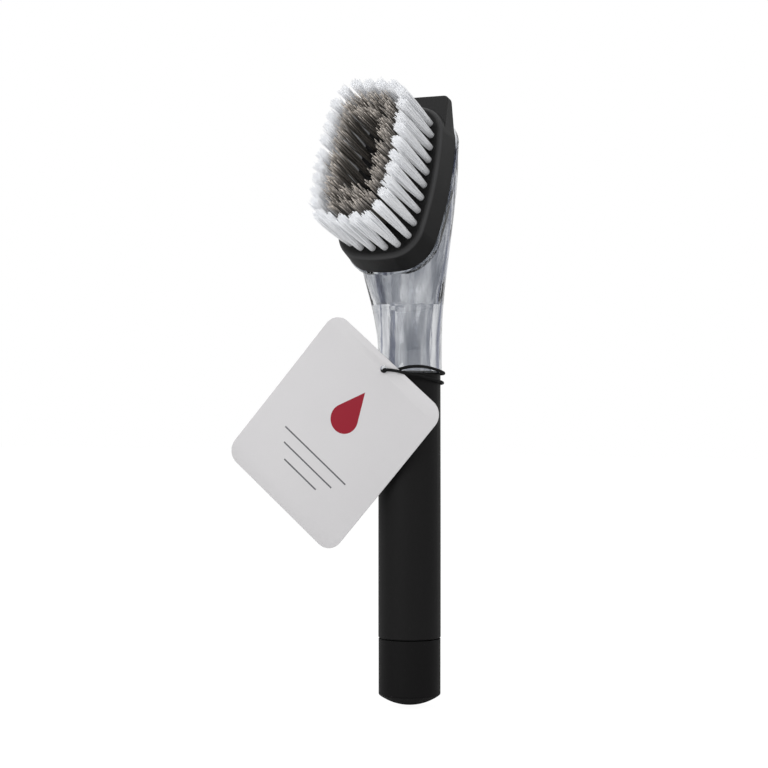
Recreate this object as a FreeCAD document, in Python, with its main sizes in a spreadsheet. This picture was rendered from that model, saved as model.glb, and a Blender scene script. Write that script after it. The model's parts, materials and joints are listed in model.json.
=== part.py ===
import FreeCAD, Part
import math
import os
import re

import Sketcher
from FreeCAD import Placement, Rotation, Vector

# A soap-dispensing sink brush, standing head up. Millimetres and degrees.
# Z runs along the handle towards the head, and the bristles face -Y.
# X is to the right seen from the bristles.
# The origin is on the handle's axis, half way up the straight part of the grip.

doc = FreeCAD.newDocument("SinkBrush")

# Driving dimensions
SIZES = {
    # Grip and reservoir tube
    "grip_radius": 13.5,
    "grip_top_radius": 13.4,
    "grip_stretch": 54,
    "grip_taper_length": 60.6,
    "grip_edge_round": 0.6,
    "tube_radius": 11.5,
    "tube_bore_radius": 9.0,
    "sleeve_clearance": 0.05,
    # End cap and its thread
    "cap_radius": 13.4,
    "cap_length": 24.5,
    "cap_dome": 4.5,
    "cap_wall": 1.4,
    "cap_floor": 1.5,
    "cap_edge_round": 1.0,
    "seam_gap": 0.4,
    "insert_floor": 2.0,
    "well_radius": 8.0,
    "thread_length": 14.0,
    "thread_core_radius": 10.2,
    "thread_pitch": 4.0,
    "thread_turns": 1.5,
    "thread_lead_in": 2.5,
    "thread_depth": 0.8,
    "thread_base": 2.2,
    "thread_crest": 1.2,
    "thread_root": 0.3,
    "thread_clearance": 0.2,
    "gasket_thickness": 1.5,
    "gasket_bore_radius": 8.2,
    # Clear neck and head shell
    "neck_radius": 14.0,
    "neck_length": 12.0,
    "neck_bore_end": 29.4,
    "spigot_length": 12.0,
    "plug_length": 12.0,
    "plug_bore_radius": 7.2,
    "plug_bore_lip": 1.5,
    "seal_section": 1.2,
    "seal_squeeze": 0.05,
    "shell_half_width": 22.0,
    "shell_front_reach": 22.6,
    "shell_back_reach": 12.6,
    "shell_wall": 2.2,
    "shell_inset": 0.8,
    "shell_swell_length": 58.0,
    "shell_deepen_length": 40.0,
    "shell_lean_drop": 18.9,
    "shell_top_rise": 30.1,
    "shell_dome_length": 27.0,
    "shell_top_flat": 1.0,
    "flange_thickness": 1.8,
    "flange_overhang": 0.6,
    # Bristle block
    "head_tilt": 22,
    "face_forward": 18.5,
    "face_height": 168.9,
    "face_half_length": 37.0,
    "face_half_width": 23.0,
    "side_bow_radius": 170,
    "end_bow_radius": 60,
    "block_corner_radius": 15,
    "block_thickness": 12.0,
    "block_face_inset": 1.0,
    "block_draft": 5.6,
    "block_edge_round": 2.2,
    "scraper_root": 24.0,
    "scraper_reach": 44.5,
    "scraper_root_half_width": 21.4,
    "scraper_edge_half_width": 16.5,
    "scraper_root_back": 11.6,
    "scraper_root_front": 3.0,
    "scraper_edge_back": 10.0,
    "scraper_edge_front": 8.0,
    "scraper_corner_round": 3.4,
    "seal_thickness": 0.8,
    "head_seal_inset": 1.4,
    "head_seal_width": 1.4,
    # Tufts
    "hole_radius": 1.5,
    "hole_depth": 7.0,
    "tuft_clearance": 0.05,
    "tuft_length": 31.3,
    "white_inset": 5.5,
    "white_count": 29,
    "white_start": 0.4,
    "white_tip_radius": 2.7,
    "grey_inset": 12.4,
    "grey_count": 22,
    "grey_tip_radius": 2.5,
    "grey_row_step": 5.8,
    "grey_row_half_gap": 2.8,
    "anchor_width": 2.6,
    "anchor_height": 1.4,
    "anchor_thickness": 0.5,
    # Outlet valve and plunger
    "outlet_radius": 4.5,
    "seat_bore_radius": 3.0,
    "seat_length": 6.0,
    "seat_depth": 3.0,
    "seat_clearance": 0.03,
    "poppet_radius": 3.9,
    "poppet_thickness": 2.0,
    "stem_radius": 1.8,
    "stem_neck_radius": 1.2,
    "stem_head_radius": 2.4,
    "stem_head_thickness": 0.8,
    "stem_clearance": 0.06,
    "stem_socket": 3.6,
    "guide_radius": 7.5,
    "guide_ring_width": 1.9,
    "guide_thickness": 4.0,
    "guide_hub_radius": 3.2,
    "guide_arm_width": 2.0,
    "guide_arm_count": 3,
    "spring_radius": 4.2,
    "spring_wire": 0.7,
    "spring_turns": 4.5,
    "spring_length": 10.5,
    "spring_end_gap": 0.05,
    "collar_radius": 5.2,
    "collar_thickness": 1.9,
    # Button on the back of the head
    "diaphragm_thickness": 0.8,
    "ledge_thickness": 2.0,
    "turret_radius": 12.8,
    "turret_bore_radius": 11.0,
    "ring_bore_radius": 9.2,
    "ring_thickness": 2.5,
    "hub_radius": 3.2,
    "hub_length": 0.8,
    "button_flange_radius": 9.0,
    "button_flange_thickness": 1.5,
    "button_radius": 8.0,
    "button_length": 6.5,
    "button_dome": 1.2,
    "bezel_clearance": 0.2,
    "bezel_length": 3.3,
    "bezel_lip": 1.2,
    "bezel_edge_round": 0.8,
    # Card tag and elastic loop
    "tag_azimuth": 5.3,
    "tag_slant": 40.9,
    "tag_width": 67,
    "tag_height": 81.3,
    "tag_thickness": 0.4,
    "tag_corner_radius": 7.0,
    "tag_hole_radius": 1.6,
    "tag_hole_rise": 36.15,
    "tag_offset": 16.45,
    "tag_hole_side": 4.85,
    "tag_hole_height": 88.9,
    "loop_diameter": 1.3,
    "loop_bend": 1.5,
    "knot_radius": 1.3,
    "knot_offset": 15.0,
}

sheet = doc.addObject("Spreadsheet::Sheet", "Sizes")
for row, (alias, number) in enumerate(SIZES.items(), start=1):
    sheet.set(f"A{row}", alias.replace("_", " "))
    sheet.set(f"B{row}", str(number))
    sheet.setAlias(f"B{row}", alias)
doc.recompute()

# Heights along the handle
SEAM = "-grip_stretch / 2"
CAP_TOP = f"{SEAM} - seam_gap"
CAP_RIM = f"{SEAM} - cap_length"
CAP_INSIDE = f"{CAP_RIM} + cap_floor"
MOUTH = f"{SEAM} - thread_length"
GASKET_SEAT = f"{MOUTH} - gasket_thickness - seal_squeeze"
GRIP_TOP = "grip_stretch / 2 + grip_taper_length"
TUBE_TOP = f"{GRIP_TOP} - spigot_length"
PLUG_END = f"{TUBE_TOP} - plug_length"
BORE_END = f"{GRIP_TOP} + neck_bore_end"
SHELL_TOP = "face_height + shell_top_rise"

# Radii that fit one another
GRIP_BORE = "tube_radius + sleeve_clearance"
INSERT_RADIUS = "cap_radius - cap_wall - sleeve_clearance"
THREAD_BORE = "thread_core_radius + thread_depth + thread_clearance"
PLUG_RADIUS = "tube_bore_radius - sleeve_clearance"
SEAL_GROOVE = f"{PLUG_RADIUS} - seal_section"

# Depths behind the block's face, along the plunger
BLOCK_BACK = "-block_thickness"
SHELL_FRONT = f"{BLOCK_BACK} - seal_thickness"
GUIDE_BACK = f"{BLOCK_BACK} - guide_thickness"
COLLAR_FRONT = f"{GUIDE_BACK} - spring_length"
DIAPHRAGM_FRONT = f"{COLLAR_FRONT} - collar_thickness"
DIAPHRAGM_BACK = f"{DIAPHRAGM_FRONT} - diaphragm_thickness"
FLANGE_FRONT = f"{DIAPHRAGM_BACK} - hub_length"
FLANGE_BACK = f"{FLANGE_FRONT} - button_flange_thickness"
RING_BACK = f"{DIAPHRAGM_BACK} - ring_thickness"
TURRET_END = f"{RING_BACK} - bezel_length"
BUTTON_EDGE = f"{FLANGE_BACK} - button_length"
SEAT_FRONT = "-seat_depth"
POPPET_FRONT = f"{SEAT_FRONT} + poppet_thickness"
STEM_END = f"{DIAPHRAGM_BACK} - stem_socket"
HOLE_END = "-hole_depth"

# Sections of the clear shell's loft, and points round each
SHELL_SECTIONS = 12
ELLIPSE_POINTS = 24
# Parts of a step between tufts that a ring's start is counted in
STEP_SHARES = 20
# How far cutters reach past what they cut
OVERCUT = 120


def bind(text):
    """Expression text with each size named in it pointed at the sheet."""
    def point(word):
        return f"Sizes.{word.group()}" if word.group() in SIZES else word.group()

    return re.sub(r"[a-z_]+", point, text)


def size(text):
    """Number that an expression on the sizes gives now."""
    return float(sheet.evalExpression(bind(text)))


def head_placement():
    """Placement of a piece whose Z is the bristle direction, from the middle of the block's face."""
    tilt = Rotation(Vector(1, 0, 0), 90 - size("head_tilt"))
    return Placement(Vector(0, -size("face_forward"), size("face_height")), tilt)


def new_body(label, on_head=False):
    """Empty body, upright on the handle's axis or square to the bristle block."""
    body = doc.addObject("PartDesign::Body", label)
    if on_head:
        body.Placement = head_placement()
        body.setExpression("Placement.Base.y", bind("-face_forward"))
        body.setExpression("Placement.Base.z", bind("face_height"))
        body.setExpression("Placement.Rotation.Angle", bind("90 - head_tilt"))
    return body


def new_sketch(body, name, role, lift=None):
    """Sketch on one of the body's origin planes, lifted along the plane's normal by an expression."""
    sketch = body.newObject("Sketcher::SketchObject", name)
    planes = {feature.Role: feature for feature in body.Origin.OriginFeatures}
    sketch.AttachmentSupport = [(planes[role], "")]
    sketch.MapMode = "FlatFace"
    if lift:
        sketch.setExpression("AttachmentOffset.Base.z", bind(lift))
    return sketch


def constrain(sketch, kind, where, text):
    """Add one sketch constraint that takes its value from an expression on the sizes."""
    if text == "0":
        axis = -2 if kind == "DistanceX" else -1
        sketch.addConstraint(Sketcher.Constraint("PointOnObject", *where, axis))
        return
    ends = (-1, 1, *where) if kind.startswith("Distance") else where
    index = sketch.addConstraint(Sketcher.Constraint(kind, *ends, size(text)))
    sketch.setExpression(f"Constraints[{index}]", bind(text))


def draw_outline(sketch, corners):
    """Closed outline through (x, y) corners, counterclockwise; a third entry bows the next edge."""
    first = sketch.GeometryCount
    points = [Vector(size(corner[0]), size(corner[1]), 0) for corner in corners]
    for start, end, corner in zip(points, points[1:] + points[:1], corners):
        if len(corner) == 2:
            sketch.addGeometry(Part.LineSegment(start, end))
            continue
        radius = size(corner[2])
        chord = end - start
        side = Vector(-chord.y, chord.x, 0).normalize()
        centre = (start + end) / 2 + side * math.sqrt(radius**2 - (chord.Length / 2) ** 2)
        circle = Part.Circle(centre, Vector(0, 0, 1), radius)
        angles = [math.atan2(point.y - centre.y, point.x - centre.x) for point in (start, end)]
        sketch.addGeometry(Part.ArcOfCircle(circle, angles[0], angles[1]))
    for index in range(len(corners)):
        following = first + (index + 1) % len(corners)
        sketch.addConstraint(Sketcher.Constraint("Coincident", first + index, 2, following, 1))
    for index, corner in enumerate(corners):
        constrain(sketch, "DistanceX", (first + index, 1), corner[0])
        constrain(sketch, "DistanceY", (first + index, 1), corner[1])
        if len(corner) == 3:
            constrain(sketch, "Radius", (first + index,), corner[2])


def turned(label, corners, on_head=False):
    """Body turned about its Z axis from an outline of (radius, height) corners."""
    body = new_body(label, on_head)
    sketch = new_sketch(body, f"{label}_outline", "XZ_Plane")
    draw_outline(sketch, corners)
    turn = body.newObject("PartDesign::Revolution", f"{label}_turn")
    turn.Profile = sketch
    turn.ReferenceAxis = (sketch, ["V_Axis"])
    turn.Angle = 360
    doc.recompute()
    return body


def ring(label, inner, outer, low, high, on_head=False):
    """Turned ring of rectangular section."""
    return turned(label, [(inner, low), (outer, low), (outer, high), (inner, high)], on_head)


def round_edges(body, radius, chosen):
    """Fillet the edges of the body's tip that a test picks."""
    base = body.Tip
    edges = [f"Edge{index}" for index, edge in enumerate(base.Shape.Edges, start=1) if chosen(edge)]
    fillet = body.newObject("PartDesign::Fillet", f"{body.Name}_round")
    fillet.Base = (base, edges)
    fillet.setExpression("Radius", bind(radius))
    doc.recompute()


def circle_at(edge, radius, height):
    """Whether an edge is a circle of that radius at that height, both expressions."""
    if edge.Degenerated or not isinstance(edge.Curve, Part.Circle):
        return False
    curve = edge.Curve
    return abs(curve.Radius - size(radius)) < 0.001 and abs(curve.Center.z - size(height)) < 0.001


def oval_arcs(inset):
    """The block's outline drawn in by an inset: centre, radius, start and end angle of its eight arcs."""
    half_width = size(f"face_half_width - ({inset})")
    half_length = size(f"face_half_length - ({inset})")
    side = size(f"side_bow_radius - ({inset})")
    end = size(f"end_bow_radius - ({inset})")
    corner = size(f"block_corner_radius - ({inset})")
    side_centre = Vector(half_width - side, 0, 0)
    end_centre = Vector(0, half_length - end, 0)
    # The corner's centre is side - corner from one centre and end - corner from the other
    across = end_centre - side_centre
    along = ((side - corner) ** 2 - (end - corner) ** 2 + across.Length**2) / (2 * across.Length)
    off = math.sqrt((side - corner) ** 2 - along**2)
    step = Vector(across).normalize()
    centre = side_centre + step * along + Vector(-step.y, step.x, 0) * off
    low = math.atan2(centre.y - side_centre.y, centre.x - side_centre.x)
    high = math.atan2(centre.y - end_centre.y, centre.x - end_centre.x)
    half_turn = math.pi
    return [
        (side_centre, side, -low, low),
        (centre, corner, low, high),
        (end_centre, end, high, half_turn - high),
        (Vector(-centre.x, centre.y, 0), corner, half_turn - high, half_turn - low),
        (side_centre * -1, side, half_turn - low, half_turn + low),
        (centre * -1, corner, half_turn + low, half_turn + high),
        (end_centre * -1, end, half_turn + high, 2 * half_turn - high),
        (Vector(centre.x, -centre.y, 0), corner, 2 * half_turn - high, 2 * half_turn - low),
    ]


def oval_edges(inset):
    """The drawn-in outline as arc edges."""
    return [
        Part.ArcOfCircle(Part.Circle(centre, Vector(0, 0, 1), radius), start, end)
        for centre, radius, start, end in oval_arcs(inset)
    ]


def oval_wire(inset):
    """The drawn-in outline as a closed wire."""
    return Part.Wire([arc.toShape() for arc in oval_edges(inset)])


def draw_oval(sketch, inset):
    """Draw the block's outline, drawn in by an inset, and tie its arcs to the sizes."""
    first = sketch.GeometryCount
    for arc in oval_edges(inset):
        sketch.addGeometry(arc)
    for index in range(8):
        following = first + (index + 1) % 8
        sketch.addConstraint(Sketcher.Constraint("Tangent", first + index, 2, following, 1))
    for index, radius in enumerate(("side_bow_radius", "block_corner_radius", "end_bow_radius")):
        constrain(sketch, "Radius", (first + index,), f"{radius} - ({inset})")
    for twin, index in ((3, 1), (4, 0), (5, 1), (6, 2), (7, 1)):
        sketch.addConstraint(Sketcher.Constraint("Equal", first + index, first + twin))
    for index, sign in ((0, ""), (4, "-")):
        constrain(sketch, "DistanceY", (first + index, 3), "0")
        constrain(sketch, "DistanceX", (first + index, 3), f"{sign}(face_half_width - side_bow_radius)")
    for index, sign in ((2, ""), (6, "-")):
        constrain(sketch, "DistanceX", (first + index, 3), "0")
        constrain(sketch, "DistanceY", (first + index, 3), f"{sign}(face_half_length - end_bow_radius)")


def solid_feature(label, shape, on_head=False):
    """Sub-part whose solids are made by code, in the wand's frame or square to the block."""
    feature = doc.addObject("Part::Feature", label)
    feature.Shape = shape
    if on_head:
        feature.Placement = head_placement()
    return feature


def cylinder(radius, low, high):
    """Round bar about the Z axis between two heights, from expressions."""
    return Part.makeCylinder(size(radius), size(high) - size(low), Vector(0, 0, size(low)))


# Tubes that follow a curve

def biarc(start, leave, end, arrive):
    """Two arcs that join two points along given unit directions."""
    across = end - start
    both = leave + arrive
    bend = 2 * (1 - leave.dot(arrive))
    reach = across.dot(across) / (2 * across.dot(both))
    if bend > 1e-9:
        root = math.sqrt(across.dot(both) ** 2 + bend * across.dot(across))
        reach = (root - across.dot(both)) / bend
    middle = (start + leave * reach + end - arrive * reach) / 2
    edges = []
    for near, direction, far in ((start, leave, middle), (end, arrive * -1, middle)):
        chord = far - near
        crown = chord.Length / 2
        lean = (direction - chord * (direction.dot(chord) / chord.dot(chord)))
        if lean.Length < 1e-7:
            edges.append(Part.LineSegment(near, far).toShape())
            continue
        angle = math.asin(min(1.0, lean.Length))
        rise = crown * math.tan(angle / 2)
        top = (near + far) / 2 + lean.normalize() * rise
        edges.append(Part.Arc(near, top, far).toShape())
    return edges


def smooth_path(points, leave, arrive):
    """Wire of tangent arcs through points, with given directions at its ends."""
    directions = [(after - before).normalize() for before, after in zip(points, points[2:])]
    directions = [leave, *directions, arrive]
    edges = []
    for index in range(len(points) - 1):
        edges += biarc(points[index], directions[index], points[index + 1], directions[index + 1])
    return Part.Wire(Part.__sortEdges__(edges))


def tube_along(path, diameter, start, direction):
    """Solid round tube along a wire."""
    section = Part.Wire(Part.makeCircle(diameter / 2, start, direction))
    return path.makePipeShell([section], True, False)


def report_tube(label, path, diameter, tube):
    """Print a wound tube's length, its volume against its section, and its least gap to itself."""
    step = diameter / 4
    points = path.discretize(Number=int(path.Length / step))
    apart = int(math.pi * diameter / step)
    gap = min(
        points[first].distanceToPoint(points[second])
        for first in range(0, len(points), 2)
        for second in range(first + apart, len(points), 2)
    )
    fill = tube.Volume / (math.pi * diameter**2 / 4 * path.Length)
    tightest = min(edge.Curve.Radius for edge in path.Edges if isinstance(edge.Curve, Part.Circle))
    print(f"{label}: length {path.Length:.1f}, volume ratio {fill:.4f}, ", end="")
    print(f"least gap {gap - diameter:.2f}, tightest radius {tightest:.2f}")


# Handle

def make_grip_sleeve():
    """Soft sleeve over the reservoir tube, straight below and a touch slimmer at the neck."""
    corners = [
        (GRIP_BORE, SEAM),
        ("grip_radius", SEAM),
        ("grip_radius", "grip_stretch / 2"),
        ("grip_top_radius", GRIP_TOP),
        (GRIP_BORE, GRIP_TOP),
    ]
    body = turned("grip_sleeve", corners)
    rims = (("grip_radius", SEAM), ("grip_top_radius", GRIP_TOP))
    round_edges(body, "grip_edge_round", lambda edge: any(circle_at(edge, *rim) for rim in rims))
    return body


def add_thread(body, inward, root, crest, low):
    """Add a screw ridge to a body, outward or inward from a root to a crest radius, its foot at a height."""
    sketch = new_sketch(body, f"{body.Name}_ridge", "XZ_Plane")
    base = "thread_base / 2"
    tip = "thread_crest / 2"
    corners = [
        (root, f"{low} - {base}"),
        (crest, f"{low} - {tip}"),
        (crest, f"{low} + {tip}"),
        (root, f"{low} + {base}"),
    ]
    draw_outline(sketch, [corners[index] for index in (1, 0, 3, 2)] if inward else corners)
    helix = body.newObject("PartDesign::AdditiveHelix", f"{body.Name}_thread")
    helix.Profile = sketch
    helix.ReferenceAxis = (sketch, ["V_Axis"])
    helix.Mode = 0
    helix.setExpression("Pitch", bind("thread_pitch"))
    helix.setExpression("Height", bind("thread_pitch * thread_turns"))
    doc.recompute()


def make_reservoir_tube():
    """Rigid soap tube, reduced at its open lower end, which carries the cap's thread."""
    corners = [
        ("tube_bore_radius", MOUTH),
        ("thread_core_radius", MOUTH),
        ("thread_core_radius", SEAM),
        ("tube_radius", SEAM),
        ("tube_radius", TUBE_TOP),
        ("tube_bore_radius", TUBE_TOP),
    ]
    body = turned("reservoir_tube", corners)
    crest = "thread_core_radius + thread_depth"
    add_thread(body, False, "thread_core_radius - thread_root", crest, f"{MOUTH} + thread_lead_in")
    return body


def make_end_cap():
    """Soft-touch cap shell with a shallow dome."""
    dome_radius = "(cap_radius^2 + cap_dome^2) / (2 * cap_dome)"
    corners = [
        ("0", f"{CAP_RIM} - cap_dome", dome_radius),
        ("cap_radius", CAP_RIM),
        ("cap_radius", CAP_TOP),
        ("cap_radius - cap_wall", CAP_TOP),
        ("cap_radius - cap_wall", CAP_INSIDE),
        ("0", CAP_INSIDE),
    ]
    body = turned("end_cap", corners)
    round_edges(body, "cap_edge_round", lambda edge: circle_at(edge, "cap_radius", CAP_RIM))
    return body


def make_cap_insert():
    """Rigid liner of the cap: a well, a ledge for the gasket, and the thread."""
    corners = [
        ("0", CAP_INSIDE),
        (INSERT_RADIUS, CAP_INSIDE),
        (INSERT_RADIUS, CAP_TOP),
        (THREAD_BORE, CAP_TOP),
        (THREAD_BORE, GASKET_SEAT),
        ("well_radius", GASKET_SEAT),
        ("well_radius", f"{CAP_INSIDE} + insert_floor"),
        ("0", f"{CAP_INSIDE} + insert_floor"),
    ]
    body = turned("cap_insert", corners)
    crest = f"{THREAD_BORE} - thread_depth"
    low = f"{MOUTH} + thread_lead_in + thread_pitch / 2"
    add_thread(body, True, f"{THREAD_BORE} + thread_root", crest, low)
    return body


def make_cap_gasket():
    """Ring that the tube's mouth closes on."""
    top = f"{GASKET_SEAT} + gasket_thickness"
    return ring("cap_gasket", "gasket_bore_radius", f"{THREAD_BORE} - thread_clearance", GASKET_SEAT, top)


def make_neck_seal():
    """O-ring in the plug's groove."""
    seal = doc.addObject("Part::Torus", "neck_seal")
    seal.setExpression("Radius1", bind(f"{SEAL_GROOVE} + seal_section / 2"))
    seal.setExpression("Radius2", bind("seal_section / 2 - seal_squeeze"))
    seal.setExpression("Placement.Base.z", bind(f"{TUBE_TOP} - plug_length / 2"))
    return seal


# Clear shell

def ease(start, length, height):
    """Smooth step from 0 to 1 over a length that starts at a height."""
    share = min(1.0, max(0.0, (height - start) / length))
    return share * share * (3 - 2 * share)


def shell_section(height, wall):
    """Ellipse of the clear neck and head at a height, drawn in by a wall."""
    start = size(f"{GRIP_TOP} + neck_length")
    neck = size("neck_radius")
    deepen = ease(start, size("shell_deepen_length"), height)
    slope = math.tan(math.radians(size("head_tilt")))
    lean = max(0.0, height - size("face_height - shell_lean_drop")) * slope / 2
    front = neck + (size("shell_front_reach") - neck) * deepen - lean
    back = neck + (size("shell_back_reach") - neck) * deepen + lean
    width = neck + (size("shell_half_width") - neck) * ease(start, size("shell_swell_length"), height)
    # The top closes in a dome towards the block's back
    rise = (height - size(f"{SHELL_TOP} - shell_dome_length")) / size("shell_dome_length")
    if rise > 0:
        close = math.sqrt(1 - rise**2)
        plane = size("face_forward") + size(SHELL_FRONT) / math.cos(math.radians(size("head_tilt")))
        plane -= (height - size("face_height")) * slope
        front = plane + (front - plane) * close
        back = (back + plane) * close - plane
        width *= math.sqrt(close)
    points = []
    for index in range(ELLIPSE_POINTS):
        angle = 2 * math.pi * index / ELLIPSE_POINTS
        x = (width - wall) * math.cos(angle)
        y = ((front + back) / 2 - wall) * math.sin(angle) + (back - front) / 2
        points.append(Vector(x, y, height))
    curve = Part.BSplineCurve()
    curve.interpolate(Points=points, PeriodicFlag=True)
    return Part.Wire(curve.toShape())


def shell_loft(low, high, wall):
    """Solid of the clear neck and head between two heights, drawn in by a wall."""
    # The sections lie closest together on top, where the dome closes
    shares = [math.sin(math.pi / 2 * index / (SHELL_SECTIONS - 1)) for index in range(SHELL_SECTIONS)]
    return Part.makeLoft([shell_section(low + (high - low) * share, wall) for share in shares], True, False)


def head_prism(inset, low, high):
    """Bar of the block's outline, drawn in, between two depths behind the face, in the wand's frame."""
    face = Part.Face(oval_wire(inset))
    face.translate(Vector(0, 0, low))
    prism = face.extrude(Vector(0, 0, high - low))
    prism.Placement = head_placement().multiply(prism.Placement)
    return prism


def on_head_axis(shape):
    """A shape made about the plunger's axis, brought to the wand's frame."""
    shape.Placement = head_placement().multiply(shape.Placement)
    return shape


def head_box(low_reach, high_reach, low, high):
    """Wide box square to the block, between two reaches towards its tip and two depths behind its face."""
    corner = Vector(-OVERCUT, low_reach, low)
    return on_head_axis(Part.makeBox(2 * OVERCUT, high_reach - low_reach, high - low, corner))


def trimmed_loft(low, high, wall):
    """The shell's loft, whose upper half keeps to the block's outline."""
    back = size(SHELL_FRONT) - OVERCUT
    outline = head_prism(f"shell_inset + {wall}", back, OVERCUT)
    spare = head_box(0, OVERCUT, back, OVERCUT).cut(outline)
    return shell_loft(low, high, size(wall)).cut(spare)


def make_clear_housing():
    """Clear neck and head shell with its flange, the plug below, and the button's turret behind."""
    front = size(SHELL_FRONT)
    outer = trimmed_loft(size(GRIP_TOP), size(f"{SHELL_TOP} - shell_top_flat"), "0")
    chamber = trimmed_loft(size(BORE_END), size(f"{SHELL_TOP} - 2 * shell_wall"), "shell_wall")
    flange = head_prism("-flange_overhang", front - size("flange_thickness"), front)
    ledge_front = f"{DIAPHRAGM_FRONT} + ledge_thickness"
    open_air = f"{TURRET_END} - {OVERCUT}"
    turret = on_head_axis(cylinder("turret_radius", TURRET_END, ledge_front))
    # Where the shell's back lies behind the turret's end, a thicker wall takes the recess for the bezel
    boss = outer.common(on_head_axis(cylinder("turret_radius + shell_wall", open_air, ledge_front)))
    shell = outer.cut(head_box(-OVERCUT, OVERCUT, front, OVERCUT))
    shell = shell.fuse(flange).cut(chamber).fuse([turret, boss])
    for radius, low, high in (
        ("turret_radius + seam_gap", open_air, TURRET_END),
        ("turret_bore_radius", f"{TURRET_END} - seam_gap", DIAPHRAGM_FRONT),
        ("ring_bore_radius", DIAPHRAGM_FRONT, f"{ledge_front} + seam_gap"),
    ):
        shell = shell.cut(on_head_axis(cylinder(radius, low, high)))
    spigot = cylinder("tube_radius", TUBE_TOP, GRIP_TOP)
    plug = cylinder(PLUG_RADIUS, PLUG_END, TUBE_TOP)
    shell = shell.fuse([spigot, plug])
    groove_low = f"{TUBE_TOP} - (plug_length + seal_section) / 2"
    groove_high = f"{TUBE_TOP} - (plug_length - seal_section) / 2"
    groove_floor = cylinder(SEAL_GROOVE, groove_low, groove_high)
    groove = cylinder("tube_radius", groove_low, groove_high).cut(groove_floor)
    shell = shell.cut([
        groove,
        cylinder("plug_bore_radius", f"{PLUG_END} - seam_gap", GRIP_TOP),
        cylinder("tube_bore_radius", f"{TUBE_TOP} + plug_bore_lip", f"{BORE_END} + seam_gap"),
    ])
    return solid_feature("clear_housing", shell)


# Bristle block

def ring_points(inset, count, start):
    """Evenly spaced points on the outline drawn in by an inset, the first a share of a step on."""
    points = oval_wire(inset).discretize(Number=count * STEP_SHARES + 1)[:-1]
    return points[round(start * STEP_SHARES) :: STEP_SHARES]


def white_points():
    """Middles of the outer tufts."""
    return ring_points("white_inset", int(size("white_count")), size("white_start"))


def grey_points():
    """Middles of the inner tufts: a ring, and a pair inside each of its ends."""
    points = ring_points("grey_inset", int(size("grey_count")), 0)
    row = size("face_half_length - grey_inset - grey_row_step")
    gap = size("grey_row_half_gap")
    return points + [Vector(x, y, 0) for x in (-gap, gap) for y in (-row, row)]


def make_brush_block():
    """Block with a rounded face, tuft holes, the outlet and the scraper lip."""
    body = new_body("brush_block", on_head=True)
    outline = new_sketch(body, "block_outline", "XY_Plane")
    draw_oval(outline, "block_face_inset")
    pad = body.newObject("PartDesign::Pad", "block_pad")
    pad.Profile = outline
    pad.Reversed = True
    pad.setExpression("Length", bind("block_thickness"))
    pad.setExpression("TaperAngle", bind("block_draft"))
    doc.recompute()
    round_edges(body, "block_edge_round", lambda edge: all(abs(v.Point.z) < 0.001 for v in edge.Vertexes))
    sections = []
    for name, reach in (("root", "scraper_root"), ("edge", "scraper_reach")):
        section = new_sketch(body, f"scraper_{name}", "XZ_Plane", f"-{reach}")
        half = f"scraper_{name}_half_width"
        low = f"-scraper_{name}_back"
        high = f"-scraper_{name}_front"
        front_half = f"({half} - ({high} - {low}) * tan(block_draft))"
        corners = [(f"-{half}", low), (half, low), (front_half, high), (f"-{front_half}", high)]
        draw_outline(section, corners)
        sections.append(section)
    lip = body.newObject("PartDesign::AdditiveLoft", "scraper_lip")
    lip.Profile = sections[0]
    lip.Sections = [sections[1]]
    lip.Ruled = True
    doc.recompute()
    reach = size("scraper_reach")
    side = size("(scraper_edge_back - scraper_edge_front) / cos(block_draft)")
    round_edges(
        body,
        "scraper_corner_round",
        lambda edge: abs(edge.Length - side) < 0.001
        and all(abs(v.Point.y - reach) < 0.001 for v in edge.Vertexes),
    )
    holes = new_sketch(body, "tuft_holes", "XY_Plane")
    for index, point in enumerate(white_points() + grey_points()):
        holes.addGeometry(Part.Circle(Vector(point.x, point.y, 0), Vector(0, 0, 1), size("hole_radius")))
        if index:
            holes.addConstraint(Sketcher.Constraint("Equal", 0, index))
    constrain(holes, "Radius", (0,), "hole_radius")
    outlet = new_sketch(body, "outlet", "XY_Plane")
    outlet.addGeometry(Part.Circle(Vector(0, 0, 0), Vector(0, 0, 1), size("outlet_radius")))
    outlet.addConstraint(Sketcher.Constraint("Coincident", 0, 3, -1, 1))
    constrain(outlet, "Radius", (0,), "outlet_radius")
    for sketch, depth in ((holes, "hole_depth"), (outlet, "block_thickness + seal_thickness")):
        before = body.Shape.Volume
        pocket = body.newObject("PartDesign::Pocket", f"{sketch.Name}_pocket")
        pocket.Profile = sketch
        pocket.setExpression("Length", bind(depth))
        doc.recompute()
        if body.Shape.Volume >= before:
            raise RuntimeError(f"{sketch.Name} cut nothing")
    return body


def make_head_seal():
    """Flat gasket between the block and the clear shell's flange."""
    body = new_body("head_seal", on_head=True)
    sketch = new_sketch(body, "seal_outline", "XY_Plane", SHELL_FRONT)
    draw_oval(sketch, "head_seal_inset")
    draw_oval(sketch, "head_seal_inset + head_seal_width")
    pad = body.newObject("PartDesign::Pad", "seal_pad")
    pad.Profile = sketch
    pad.setExpression("Length", bind("seal_thickness"))
    return body


def tuft_group(label, points, tip):
    """Tufts, each a straight root in its hole that flares to its tip."""
    root = size("hole_radius - tuft_clearance")
    low = size(f"{HOLE_END} + anchor_height + tuft_clearance")
    profile = [
        Vector(0, 0, low),
        Vector(root, 0, low),
        Vector(root, 0, 0),
        Vector(size(tip), 0, size("tuft_length")),
        Vector(0, 0, size("tuft_length")),
        Vector(0, 0, low),
    ]
    tuft = Part.Face(Part.makePolygon(profile)).revolve(Vector(0, 0, 0), Vector(0, 0, 1), 360)
    return solid_feature(label, Part.makeCompound([tuft.translated(point) for point in points]), on_head=True)


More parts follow.
